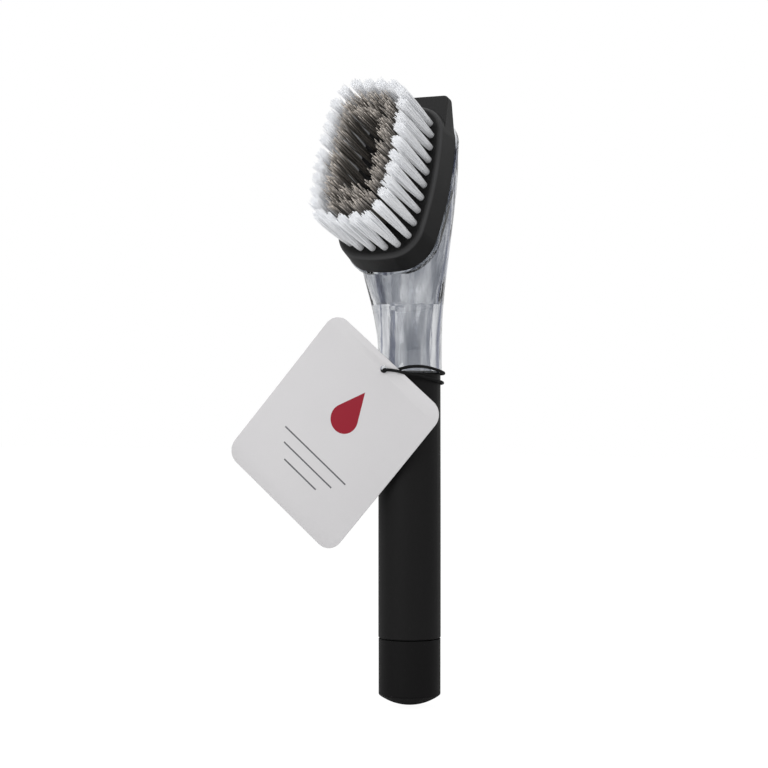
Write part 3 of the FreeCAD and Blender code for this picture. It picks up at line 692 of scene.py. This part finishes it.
@dataclass(frozen=True)
class CardFinish:
    """Coated card with a drop and three rules printed on its front."""

    name: str
    color: Color
    ink: Color
    accent: Color
    place: Matrix
    middle: Vector
    roughness: float = 0.42
    sheen: float = 0.2
    tone: float = 0.97
    # Size of the card's fibres, and how far tone, roughness and height swing with them
    fibre: float = 0.35
    fibre_tone: float = 0.05
    fibre_gloss: float = 0.15
    fibre_depth: float = 0.008
    cloud: float = 30.0
    cloud_tone: float = 0.06
    drop_radius: float = 6.5
    drop_height: float = 15.0
    drop_rise: float = 8.0
    rule_width: float = 0.7
    # The print is on surfaces that face the card's front at least this much
    least_facing: float = 0.5
    # Height of each rule below the card's middle, and half its length
    rules: tuple[tuple[float, float], ...] = ((13.0, 19.0), (18.5, 15.0), (24.0, 10.0))

    def material(self) -> bpy.types.Material:
        """Build the finish.

        Returns:
            The material.
        """
        tree = ShaderTree(self.name)
        where = tree.position()
        across, along, _ = tree.local(where, self.place)
        across = across - self.middle.x
        along = along - self.middle.y
        front = tree.facing(self.place.to_3x3().col[2]).above(self.least_facing)
        # A drop: a disc, and the two lines that run from its shoulders to a point
        height = along - self.drop_rise
        shoulder = self.drop_radius**2 / self.drop_height
        slope = self.drop_radius / math.sqrt(self.drop_height**2 - self.drop_radius**2)
        upper = height.above(shoulder)
        low = (self.drop_radius**2 - height * height).most(0.0) ** 0.5
        high = (self.drop_height - height).most(0.0) * slope
        drop = abs(across).below(upper * high + (1 - upper) * low) * front
        rules = [
            abs(along + depth).below(self.rule_width / 2) * abs(across).below(reach)
            for depth, reach in self.rules
        ]
        ink = reduce(Value.most, rules) * front
        fibre = tree.noise(where, self.fibre, detail=3.0)
        cloud = tree.noise(where, self.cloud, detail=3.0)
        tone = self.tone + fibre.swing(self.fibre_tone) + cloud.swing(self.cloud_tone)
        color = tree.blend(ink, tree.tinted(self.color, tone), self.ink)
        tree.dress(
            base_color=tree.blend(drop, color, self.accent),
            roughness=self.roughness + fibre.swing(self.fibre_gloss),
            specular_ior_level=self.sheen,
        )
        tree.relief(fibre, self.fibre_depth)
        return tree.material


@dataclass(frozen=True)
class Lamp:
    """A square soft lamp that faces the wand's middle, and its place from there as the camera sees it."""

    name: str
    right: float
    toward: float
    up: float
    width: float
    power: float


@dataclass
class Studio:
    """Camera, lamps, floor and the white surroundings."""

    azimuth: float = 29.0
    eye: Point = (447.5, -830.1, 82.6)
    lens: float = 102.15
    sensor: float = 36.0
    target: Point = (0.0, -5.0, 75.0)
    lamps: tuple[Lamp, ...] = (
        Lamp("key", right=-620.0, toward=780.0, up=420.0, width=620.0, power=5.0),
        Lamp("fill", right=560.0, toward=700.0, up=500.0, width=420.0, power=1.9),
        Lamp("top", right=-60.0, toward=160.0, up=980.0, width=620.0, power=3.0),
    )
    ambient: float = 0.3
    floor_drop: float = 1.0
    floor_width: float = 6000.0
    floor_color: Color = (0.9, 0.9, 0.9)
    floor_roughness: float = 0.8
    # The white that the floor shows the camera, and its share beside the floor's own shading
    floor_glow: float = 1.12
    floor_share: float = 0.86

    def camera(self) -> None:
        """Place the camera where the photograph was taken from."""
        data = bpy.data.cameras.new("camera")
        data.lens = self.lens
        data.sensor_width = self.sensor
        data.dof.use_dof = False
        camera = bpy.data.objects.new("camera", data)
        camera.location = Vector(self.eye) * MM
        camera.rotation_euler = (math.pi / 2, 0.0, math.radians(self.azimuth))
        bpy.context.scene.collection.objects.link(camera)
        bpy.context.scene.camera = camera

    def light(self) -> None:
        """Hang the lamps."""
        turn = math.radians(self.azimuth)
        side = Vector((math.cos(turn), math.sin(turn), 0.0))
        front = Vector((math.sin(turn), -math.cos(turn), 0.0))
        target = Vector(self.target)
        for lamp in self.lamps:
            place = target + side * lamp.right + front * lamp.toward + Vector((0.0, 0.0, lamp.up))
            data = bpy.data.lights.new(lamp.name, "AREA")
            data.size = lamp.width * MM
            data.energy = lamp.power
            hung = bpy.data.objects.new(lamp.name, data)
            hung.location = place * MM
            hung.rotation_euler = (target - place).to_track_quat("-Z", "Y").to_euler()
            bpy.context.scene.collection.objects.link(hung)

    def surroundings(self) -> None:
        """White to the camera and in reflections, and a plain soft light on everything else."""
        world = bpy.data.worlds.new("surroundings")
        world.use_nodes = True
        bpy.context.scene.world = world
        nodes = world.node_tree.nodes
        links = world.node_tree.links
        nodes.clear()
        path = nodes.new("ShaderNodeLightPath")
        seen = path.outputs["Is Camera Ray"]
        for ray in ("Is Glossy Ray", "Is Transmission Ray"):
            either = nodes.new("ShaderNodeMath")
            either.operation = "MAXIMUM"
            links.new(seen, either.inputs[0])
            links.new(path.outputs[ray], either.inputs[1])
            seen = either.outputs[0]
        strength = nodes.new("ShaderNodeMapRange")
        strength.inputs["To Min"].default_value = self.ambient
        strength.inputs["To Max"].default_value = 1.0
        links.new(seen, strength.inputs["Value"])
        background = nodes.new("ShaderNodeBackground")
        background.inputs["Color"].default_value = (1.0, 1.0, 1.0, 1.0)
        links.new(strength.outputs[0], background.inputs["Strength"])
        output = nodes.new("ShaderNodeOutputWorld")
        links.new(background.outputs[0], output.inputs["Surface"])

    def floor(self, height: float) -> None:
        """Lay a pale floor just under the wand.

        Args:
            height: Lowest point of the wand in metres.
        """
        drop = height - self.floor_drop * MM
        piece = Bench.primitive("plane", "floor", size=self.floor_width * MM, location=(0.0, 0.0, drop))
        tree = ShaderTree("floor_white")
        tree.dress(base_color=self.floor_color, roughness=self.floor_roughness)
        shine = {"Color": (1.0, 1.0, 1.0), "Strength": self.floor_glow}
        white = tree.add("ShaderNodeEmission", None, shine)
        path = tree.add("ShaderNodeLightPath")
        seen = Value(tree, path.outputs["Is Camera Ray"])
        seen = seen.most(Value(tree, path.outputs["Is Transmission Ray"]))
        mix = tree.add("ShaderNodeMixShader", None, {0: seen * self.floor_share})
        output = next(node for node in tree.nodes if node.type == "OUTPUT_MATERIAL")
        tree.links.new(tree.surface.outputs["BSDF"], mix.inputs[1])
        tree.links.new(white.outputs[0], mix.inputs[2])
        tree.links.new(mix.outputs[0], output.inputs["Surface"])
        Bench.paint(piece, tree.material)
        piece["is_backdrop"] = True


@dataclass
class Head:
    """The bristle block's outline and frame, which the tufts stand on."""

    tilt: float = 22.0
    forward: float = 18.5
    height: float = 168.9
    half_length: float = 37.0
    half_width: float = 23.0
    side_bow: float = 170.0
    end_bow: float = 60.0
    corner: float = 15.0

    def place(self) -> Matrix:
        """Frame whose Z is the bristle direction, from the middle of the block's face, in metres."""
        turn = Matrix.Rotation(math.radians(90 - self.tilt), 4, "X")
        return Matrix.Translation(Vector((0.0, -self.forward, self.height)) * MM) @ turn

    def arcs(self, inset: float) -> list[tuple[Vector, float, float, float]]:
        """The block's outline drawn in by an inset.

        Args:
            inset: How far the outline is drawn in.

        Returns:
            Centre, radius, start and end angle of each arc, counterclockwise from the lower right.
        """
        side = self.side_bow - inset
        end = self.end_bow - inset
        corner = self.corner - inset
        side_centre = Vector((self.half_width - inset - side, 0.0))
        end_centre = Vector((0.0, self.half_length - inset - end))
        across = end_centre - side_centre
        along = ((side - corner) ** 2 - (end - corner) ** 2 + across.length_squared) / (2 * across.length)
        off = math.sqrt((side - corner) ** 2 - along**2)
        step = across.normalized()
        centre = side_centre + step * along + Vector((-step.y, step.x)) * off
        low = math.atan2(centre.y - side_centre.y, centre.x - side_centre.x)
        high = math.atan2(centre.y - end_centre.y, centre.x - end_centre.x)
        half = math.pi
        return [
            (side_centre, side, -low, low),
            (centre, corner, low, high),
            (end_centre, end, high, half - high),
            (Vector((-centre.x, centre.y)), corner, half - high, half - low),
            (-side_centre, side, half - low, half + low),
            (-centre, corner, half + low, half + high),
            (-end_centre, end, half + high, 2 * half - high),
            (Vector((centre.x, -centre.y)), corner, 2 * half - high, 2 * half - low),
        ]

    def ring(self, inset: float, count: int, start: float) -> list[Vector]:
        """Evenly spaced points round the drawn-in outline.

        Args:
            inset: How far the outline is drawn in.
            count: Number of points.
            start: Place of the first point, as a share of a step.

        Returns:
            The points, on the block's face.
        """
        arcs = self.arcs(inset)
        total = sum(radius * (last - first) for _, radius, first, last in arcs)
        points = []
        for index in range(count):
            run = total * (index + start) / count
            for centre, radius, first, last in arcs:
                length = radius * (last - first)
                if run <= length:
                    angle = first + run / radius
                    spot = centre + Vector((math.cos(angle), math.sin(angle))) * radius
                    points.append(Vector((spot.x, spot.y, 0.0)))
                    break
                run -= length
        return points


class TuftRow(Enum):
    """The two kinds of tuft."""

    WHITE = "white_tufts"
    GREY = "grey_tufts"


@dataclass
class Tufts:
    """Bundles of filaments that stand for one row of tufts."""

    row: TuftRow
    head: Head
    inset: float
    count: int
    tip_radius: float
    finish: FilamentFinish
    strands: int
    strand_radius: float
    start: float = 0.0
    # Places of single tufts inside the ring, on the block's face
    extra: tuple[tuple[float, float], ...] = ()
    root_radius: float = 1.42
    root_depth: float = 1.2
    length: float = 31.3
    ragged: float = 1.4
    stray: float = 0.35
    spreading: float = 0.85
    # A filament's sides and joints, and the width of its cut end as a share of its own
    strand_sides: int = 4
    strand_joints: int = 4
    strand_point: float = 0.55
    # How far a filament flares, as shares of the whole tuft's flare, and how far it bows
    least_flare: float = 0.86
    most_flare: float = 1.08
    bow: float = 0.18
    # Lean of a tuft in degrees
    lean: float = 0.7
    kinds: int = 6
    seed: int = 11

    def strand(self) -> bpy.types.Object:
        """Model one straight filament, 1 high, with its point at the top.

        Returns:
            The filament, standing on the origin.
        """
        piece = Bench.primitive(
            "circle",
            "strand",
            vertices=self.strand_sides,
            radius=self.strand_radius,
            fill_type="NGON",
        )
        Bench.edit(piece, "FACE")
        rise = (0.0, 0.0, 1 / self.strand_joints)
        for _ in range(self.strand_joints):
            bpy.ops.mesh.extrude_region_move(TRANSFORM_OT_translate={"value": rise})
        bpy.ops.transform.resize(value=(self.strand_point, self.strand_point, 1.0))
        Bench.take(piece)
        bpy.ops.object.shade_smooth()
        return piece

    def bundle(self, strand: bpy.types.Object, dice: random.Random, name: str) -> bpy.types.Object:
        """Gather bent copies of a filament into a tuft.

        Args:
            strand: The filament to copy.
            dice: Seeded chance.
            name: Name of the tuft.

        Returns:
            The tuft, standing on the origin, in millimetres.
        """
        copies = []
        flare = self.tip_radius / self.root_radius
        golden = math.pi * (3 - math.sqrt(5))
        for index in range(self.strands):
            # A spiral fills the root evenly
            spot = math.sqrt((index + 0.5) / self.strands) * (self.root_radius - self.strand_radius)
            root = Vector((math.cos(golden * index), math.sin(golden * index), 0.0)) * spot
            sway = Vector((dice.gauss(0.0, self.stray), dice.gauss(0.0, self.stray), 0.0))
            tall = self.length - abs(dice.gauss(0.0, self.ragged))
            tip = root * flare * dice.uniform(self.least_flare, self.most_flare) + sway
            bow = Vector((dice.gauss(0.0, self.bow), dice.gauss(0.0, self.bow), 0.0))
            copy = Bench.twin(strand, Matrix.Identity(4))
            mesh = copy.data
            shade = mesh.attributes.new("strand", "FLOAT", "POINT")
            rise = mesh.attributes.new("rise", "FLOAT", "POINT")
            tint = dice.random()
            for vertex in mesh.vertices:
                share = vertex.co.z
                spine = root.lerp(tip, share**self.spreading) + bow * math.sin(math.pi * share)
                shade.data[vertex.index].value = tint
                rise.data[vertex.index].value = share
                vertex.co.x += spine.x
                vertex.co.y += spine.y
                vertex.co.z = share * (tall + self.root_depth) - self.root_depth
            copies.append(copy)
        return Bench.join(name, copies)

    def build(self) -> bpy.types.Object:
        """Stand the tufts on the block.

        Returns:
            All the row's filaments as one piece.
        """
        dice = random.Random(self.seed)
        strand = self.strand()
        kinds = [self.bundle(strand, dice, f"bundle_{index}") for index in range(self.kinds)]
        bpy.data.objects.remove(strand)
        spots = self.head.ring(self.inset, self.count, self.start)
        spots += [Vector((x, y, 0.0)) for x, y in self.extra]
        place = self.head.place() @ Matrix.Scale(MM, 4)
        tufts = []
        for index, spot in enumerate(spots):
            turn = Matrix.Rotation(dice.uniform(0.0, 2 * math.pi), 4, "Z")
            lean = Matrix.Rotation(math.radians(dice.gauss(0.0, self.lean)), 4, "X")
            stand = place @ Matrix.Translation(spot) @ lean @ turn
            tufts.append(Bench.twin(kinds[index % self.kinds], stand))
        for kind in kinds:
            bpy.data.objects.remove(kind)
        piece = Bench.join(self.row.value.replace("tufts", "filaments"), tufts)
        Bench.paint(piece, self.finish.material())
        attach(piece, "wand")
        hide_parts(self.row.value)
        return piece


@dataclass
class HangTag:
    """The card tag, its hole at the origin of its own frame."""

    azimuth: float = 5.3
    slant: float = 40.9
    width: float = 67.0
    height: float = 81.3
    thickness: float = 0.4
    corner: float = 7.0
    hole_radius: float = 1.6
    hole_rise: float = 36.15
    offset: float = 16.45
    hole_side: float = 4.85
    hole_height: float = 88.9
    curl: float = 0.9
    corner_steps: int = 10
    hole_sides: int = 40
    punch_depth: float = 6.0
    # Slices across the card let it curl
    slices: int = 12
    # Edges sharper than an angle in degrees are rounded
    edge_radius: float = 0.07
    edge_steps: int = 2
    edge_angle: float = 50.0

    def facing(self) -> Matrix:
        """Frame of the tag's plane: X right, Y up, Z away from the handle."""
        return Matrix.Rotation(math.radians(self.azimuth), 4, "Z") @ Matrix.Rotation(math.pi / 2, 4, "X")

    def place(self) -> Matrix:
        """Place the card.

        Returns:
            Frame of the card, in metres, from the hole.
        """
        hole = Vector((-self.hole_side, self.hole_height, self.offset)) * MM
        slant = Matrix.Rotation(math.radians(-self.slant), 4, "Z")
        return self.facing() @ Matrix.Translation(hole) @ slant

    def build(self) -> bpy.types.Object:
        """Cut, punch and curl the card.

        Returns:
            The card.
        """
        middle = Vector((0.0, -self.hole_rise, 0.0))
        card = Bench.primitive("plane", "card", size=1.0)
        card.scale = (self.width, self.height, 1.0)
        card.location = middle
        Bench.fix(card)
        Bench.edit(card, "VERT")
        bpy.ops.mesh.bevel(offset=self.corner, segments=self.corner_steps, affect="VERTICES")
        bpy.ops.mesh.select_all(action="SELECT")
        bpy.ops.mesh.extrude_region_move(TRANSFORM_OT_translate={"value": (0.0, 0.0, self.thickness)})
        Bench.face_outward()
        punch = Bench.primitive(
            "cylinder",
            "punch",
            vertices=self.hole_sides,
            radius=self.hole_radius,
            depth=self.punch_depth,
        )
        Bench.modify(card, "BOOLEAN", operation="DIFFERENCE", object=punch, solver="EXACT")
        bpy.data.objects.remove(punch)
        for index in range(1, self.slices):
            Bench.edit(card, "FACE")
            level = middle.y - self.height / 2 + self.height * index / self.slices
            bpy.ops.mesh.bisect(plane_co=(0.0, level, 0.0), plane_no=(0.0, 1.0, 0.0))
        Bench.modify(
            card,
            "BEVEL",
            width=self.edge_radius,
            segments=self.edge_steps,
            limit_method="ANGLE",
            angle_limit=math.radians(self.edge_angle),
        )
        for vertex in card.data.vertices:
            share = (vertex.co.y / (self.height / 2 + self.hole_rise)) ** 2
            vertex.co.z += self.curl * share if vertex.co.y < 0 else 0.0
        Bench.smooth(card, degrees=35.0)
        Bench.settle(card, self.place() @ Matrix.Scale(MM, 4))
        finish = CardFinish(
            "coated_card",
            color=(0.66, 0.65, 0.66),
            ink=(0.13, 0.13, 0.14),
            accent=(0.27, 0.006, 0.02),
            place=self.place(),
            middle=middle,
        )
        Bench.paint(card, finish.material())
        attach(card, "tag")
        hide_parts("hang_tag")
        return card


@dataclass
class TagLoop:
    """The elastic loop, twice round the neck, and its knot behind the tag."""

    tag: HangTag
    diameter: float = 1.3
    length: float = 190.0
    knot_offset: float = 15.0
    knot_drop: float = 0.9
    knot_size: float = 0.4
    knot_strand: float = 1.0
    # Height of the knot's lobes, as a share of its size, and the points that draw it
    knot_height: float = 1.4
    knot_points: int = 18
    # How far apart the loop's ends lie
    end_gap: float = 1.0
    neck_radius: float = 14.0
    curve_steps: int = 8
    round_steps: int = 4
    # Points in front of the tag's hole: right of it, above it and out from the card
    thread: tuple[Point, ...] = ((0.25, -0.7, 1.0), (2.0, -0.1, 0.9))
    # Points that draw the loop: angle round the neck from the tag's normal, then distance outside the neck
    # and height above the tag's hole, both in the loop's diameters
    route: tuple[tuple[float, float, float], ...] = (
        (7, 3.0, -0.6),
        (14, 3.1, -1.15),
        (30, 1.6, -1.85),
        (57, 1.1, -3.0),
        (95, 1.15, -4.35),
        (140, 1.15, -4.8),
        (185, 1.15, -4.9),
        (230, 1.15, -4.45),
        (275, 1.15, -3.75),
        (320, 0.95, -3.0),
        (345, 0.96, -1.9),
        (365, 1.15, 0.1),
        (390, 1.23, 1.15),
        (415, 1.42, 0.7),
        (455, 1.6, -1.15),
        (500, 1.6, -1.6),
        (545, 1.58, -1.6),
        (590, 1.58, -1.3),
        (635, 1.5, -0.85),
        (672, 1.2, -0.4),
    )

    def spots(self) -> list[Vector]:
        """Draw the loop's line, from the knot through the tag's hole and back.

        Returns:
            Its points in metres.
        """
        side = -self.tag.hole_side
        rise = self.tag.hole_height
        low = rise - self.knot_drop
        front = self.tag.offset + self.tag.thickness
        spots = [Vector((side, low, self.knot_offset)), Vector((side, low, front))]
        spots += [Vector((side + right, rise + up, front + out)) for right, up, out in self.thread]
        for angle, lift, up in self.route:
            around = math.radians(angle)
            radius = self.neck_radius + lift * self.diameter
            height = rise + up * self.diameter
            spots.append(Vector((radius * math.sin(around), height, radius * math.cos(around))))
        spots.append(Vector((side + self.end_gap, low, self.knot_offset)))
        return [self.tag.facing() @ spot * MM for spot in spots]

    def line(self, name: str, spots: list[Vector], diameter: float) -> bpy.types.Object:
        """Draw a round cord along a smooth curve.

        Args:
            name: Name of the piece.
            spots: Points that draw the curve, in metres.
            diameter: The cord's diameter in metres.

        Returns:
            The curve.
        """
        data = bpy.data.curves.new(name, "CURVE")
        data.dimensions = "3D"
        data.resolution_u = self.curve_steps
        data.bevel_depth = diameter / 2
        data.bevel_resolution = self.round_steps
        data.use_fill_caps = True
        spline = data.splines.new("NURBS")
        spline.points.add(len(spots) - 1)
        for point, spot in zip(spline.points, spots):
            point.co = (*spot, 1.0)
        spline.order_u = 3
        spline.use_endpoint_u = True
        piece = bpy.data.objects.new(name, data)
        bpy.context.scene.collection.objects.link(piece)
        return piece

    def knot(self, finish: bpy.types.Material) -> bpy.types.Object:
        """Tie the knot that holds the loop's ends.

        Args:
            finish: Material of the elastic.

        Returns:
            The knot.
        """
        middle = Vector((-self.tag.hole_side, self.tag.hole_height - self.knot_drop, self.knot_offset))
        spots = []
        # A trefoil goes twice round its middle and has three lobes
        for index in range(self.knot_points + 1):
            turn = 2 * math.pi * index / self.knot_points
            ring = 2 + math.cos(3 * turn)
            height = self.knot_height * math.sin(3 * turn)
            bend = Vector((ring * math.cos(2 * turn), ring * math.sin(2 * turn), height))
            spots.append(self.tag.facing() @ (middle + bend * self.knot_size) * MM)
        piece = self.line("loop_knot", spots, self.knot_strand * MM)
        Bench.take(piece)
        bpy.ops.object.convert(target="MESH")
        piece = bpy.context.active_object
        Bench.smooth(piece, degrees=60.0)
        Bench.paint(piece, finish)
        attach(piece, "tag")
        return piece

    def build(self) -> bpy.types.Object:
        """Wind the loop and tie it.

        Returns:
            The loop.
        """
        finish = ElasticFinish("elastic_braid", (0.005, 0.005, 0.0052)).material()
        spots = self.spots()
        piece = self.line("elastic_loop", spots, self.diameter * MM)
        Bench.paint(piece, finish)
        knot = self.knot(finish)
        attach(piece, "tag")
        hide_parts("tag_loop")
        return piece


@dataclass
class PressedParts:
    """The spring and the rubber wall behind the button, which give way as it is pressed."""

    head: Head
    nodes: dict[str, bpy.types.Object]
    spring_radius: float = 4.2
    spring_wire: float = 0.7
    spring_turns: float = 4.5
    steps_per_turn: int = 32
    wire_sides: int = 14
    wall_bore: float = 1.83
    wall_radius: float = 10.9
    # The real wall moves with the plunger inside the first radius, and stays with the shell outside the
    # second
    moving_radius: float = 5.3
    fixed_radius: float = 7.9
    wall_sectors: int = 6
    wall_rings: int = 20
    sector_steps: int = 8
    steel: MetalFinish = MetalFinish("spring_steel", (0.6, 0.6, 0.62), roughness=0.26)
    rubber: MouldedFinish = MouldedFinish("wall_rubber", (0.03, 0.03, 0.03), roughness=0.6, mottle=0.3)

    def span(self, node: str) -> tuple[float, float]:
        """Measure a node along the bristles' direction.

        Args:
            node: The node's name.

        Returns:
            Where it starts and where it ends.
        """
        inward = self.head.place().inverted()
        heights = [(inward @ vertex.co).z / MM for vertex in self.nodes[node].data.vertices]
        return min(heights), max(heights)

    def seat(
        self,
        piece: bpy.types.Object,
        material: bpy.types.Material,
        start: Vector,
        end: Vector,
    ) -> None:
        """Place a piece, smooth it and give it its material.

        Args:
            piece: The piece, in the head's frame.
            material: Its material.
            start: Point up to which it would move with the plunger, in the head's frame; not used.
            end: Point from which it would stay with the shell; not used.
        """
        place = self.head.place() @ Matrix.Scale(MM, 4)
        Bench.settle(piece, place)
        Bench.smooth(piece, degrees=40.0)
        Bench.paint(piece, material)
        place @ start
        place @ end
        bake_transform(piece)

    def spring(self) -> bpy.types.Object:
        """Wind the spring.

        Returns:
            The spring.
        """
        low, high = self.span("return_spring")
        coil = Bench.primitive(
            "circle",
            "spring_coil",
            vertices=self.wire_sides,
            radius=self.spring_wire / 2,
            location=(self.spring_radius, 0.0, low + self.spring_wire / 2),
            rotation=(math.pi / 2, 0.0, 0.0),
        )
        Bench.fix(coil)
        Bench.modify(
            coil,
            "SCREW",
            angle=2 * math.pi * self.spring_turns,
            screw_offset=high - low - self.spring_wire,
            steps=round(self.spring_turns * self.steps_per_turn),
        )
        Bench.edit(coil, "VERT")
        bpy.ops.mesh.fill_holes(sides=0)
        Bench.face_outward()
        self.seat(coil, self.steel.material(), Vector((0.0, 0.0, low)), Vector((0.0, 0.0, high)))
        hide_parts("return_spring")
        return coil

    def wall(self) -> list[bpy.types.Object]:
        """Mould the rubber wall, in sectors that each face out along their own radius.

        Returns:
            The sectors.
        """
        low, high = self.span("diaphragm")
        share = 2 * math.pi / self.wall_sectors
        slab = Bench.primitive(
            "grid",
            "wall_slab",
            x_subdivisions=self.wall_rings,
            y_subdivisions=1,
            size=1.0,
        )
        slab.scale = (self.wall_radius - self.wall_bore, high - low, 1.0)
        slab.rotation_euler = (math.pi / 2, 0.0, -share / 2)
        middle = Vector(((self.wall_radius + self.wall_bore) / 2, 0.0, (low + high) / 2))
        slab.location = Matrix.Rotation(-share / 2, 3, "Z") @ middle
        Bench.fix(slab)
        Bench.edit(slab, "FACE")
        bpy.ops.mesh.spin(
            steps=self.sector_steps,
            angle=share,
            center=(0.0, 0.0, 0.0),
            axis=(0.0, 0.0, -1.0),
        )
        Bench.face_outward()
        Bench.clear()
        rubber = self.rubber.material()
        sectors = []
        for index in range(self.wall_sectors):
            turn = Matrix.Rotation(share * index, 4, "Z")
            sector = Bench.twin(slab, turn)
            sector.name = f"wall_sector_{index + 1}"
            outward = turn @ Vector((1.0, 0.0, 0.0))
            self.seat(sector, rubber, outward * self.moving_radius, outward * self.fixed_radius)
            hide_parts("diaphragm")
            sectors.append(sector)
        bpy.data.objects.remove(slab)
        return sectors


class Body:
    """Finishes of the pieces that keep their modelled shape."""

    soft_black = MouldedFinish(
        "soft_touch_black",
        (0.0075, 0.0073, 0.0075),
        roughness=0.56,
        sheen=0.1,
        grain=0.3,
    )
    cap_black = MouldedFinish(
        "soft_touch_cap",
        (0.005, 0.0048, 0.005),
        roughness=0.54,
        sheen=0.085,
        grain=0.3,
    )
    block_black = MouldedFinish(
        "block_black",
        (0.0078, 0.0078, 0.008),
        roughness=0.46,
        sheen=0.13,
        grain=0.35,
        # A painted highlight along the rounded rim of the block's face
        highlight_face=Head().place(),
        rim_highlight_tone=5.0,
    )
    bezel_black = MouldedFinish(
        "bezel_black",
        (0.0085, 0.0085, 0.0088),
        roughness=0.46,
        sheen=0.14,
        grain=0.35,
    )
    inner_black = MouldedFinish("inner_black", (0.014, 0.014, 0.0145), roughness=0.4)
    button_black = MouldedFinish(
        "button_black",
        (0.015, 0.015, 0.0155),
        roughness=0.5,
        grain=0.4,
        grain_depth=0.03,
    )
    seat_white = MouldedFinish("seat_white", (0.62, 0.62, 0.6), roughness=0.4)
    seal_rubber = MouldedFinish("seal_rubber", (0.03, 0.03, 0.03), roughness=0.6, mottle=0.3)
    clear = ClearFinish(
        "clear_plastic",
        light=(0.86, 0.87, 0.88),
        # Painted shade: the darker tint stands in for surroundings seen through the plastic
        painted_shade_tint=(0.27, 0.285, 0.32),
        roughness=0.025,
        ior=1.5,
        flow_width=7.0,
        flow_stretch=9.0,
        flow_depth=0.35,
        # Colour of the painted dark streak
        painted_streak=(0.08, 0.09, 0.14),
        painted_streak_width=1.8,
    )
    steel = MetalFinish("drawn_steel", (0.6, 0.6, 0.62), roughness=0.3)

    def finishes(self) -> dict[str, Any]:
        """The finish of each of the frame's pieces."""
        return {
            "grip_sleeve": self.soft_black,
            "end_cap": self.cap_black,
            "reservoir_tube": self.inner_black,
            "cap_insert": self.inner_black,
            "stem_guide": self.inner_black,
            "plunger_stem": self.inner_black,
            "diaphragm_ring": self.inner_black,
            "brush_block": self.block_black,
            "button_bezel": self.bezel_black,
            "push_button": self.button_black,
            "clear_housing": self.clear,
            "valve_seat": self.seat_white,
            "neck_seal": self.seal_rubber,
            "cap_gasket": self.seal_rubber,
            "head_seal": self.seal_rubber,
            "poppet_seal": self.seal_rubber,
            "tuft_anchors": self.steel,
        }

    def dress(self, nodes: dict[str, bpy.types.Object]) -> None:
        """Give each of the frame's pieces its material.

        Args:
            nodes: The frame's pieces by name.
        """
        made: dict[str, bpy.types.Material] = {}
        for name, finish in self.finishes().items():
            if finish.name not in made:
                made[finish.name] = finish.material()
            Bench.paint(nodes[name], made[finish.name])
            LOG.info("%s has %s", name, finish.name)


def main() -> None:
    """Build the scene."""
    logging.basicConfig(level=logging.INFO, format="%(message)s")
    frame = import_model()
    cad_low, cad_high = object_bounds()
    bpy.context.scene.view_settings.view_transform = "Standard"
    studio = Studio()
    studio.camera()
    tag = HangTag()
    card = tag.build()
    loop = TagLoop(tag).build()
    head = Head()
    white = Tufts(
        TuftRow.WHITE,
        head,
        inset=5.5,
        count=29,
        start=0.4,
        tip_radius=2.9,
        finish=FilamentFinish(
            "white_nylon",
            color=(0.83, 0.84, 0.86),
            shaded_root_tone=0.88,
            tip_power=1.0,
            spread=0.1,
            roughness=0.42,
            painted_glow=0.1,
        ),
        strands=84,
        strand_radius=0.27,
        length=29.9,
        ragged=0.8,
        spreading=0.95,
        stray=0.32,
    )
    grey = Tufts(
        TuftRow.GREY,
        head,
        inset=12.4,
        count=22,
        tip_radius=2.9,
        finish=FilamentFinish(
            "grey_nylon",
            color=(0.54, 0.495, 0.45),
            shaded_root_tone=0.36,
            tip_power=16.0,
            spread=1.2,
            roughness=0.45,
            painted_glow=0.03,
        ),
        strands=34,
        strand_radius=0.28,
        ragged=2.4,
        stray=0.6,
        extra=((-2.8, -18.8), (-2.8, 18.8), (2.8, -18.8), (2.8, 18.8)),
        seed=23,
    )
    pressed = PressedParts(head, frame["nodes"])
    for piece in (card, loop, white.build(), grey.build(), pressed.spring(), *pressed.wall()):
        LOG.info("%s is made", piece.name)
    Body().dress(frame["nodes"])
    studio.floor(cad_low.z)
    studio.light()
    studio.surroundings()


if __name__ == "__main__":
    main()
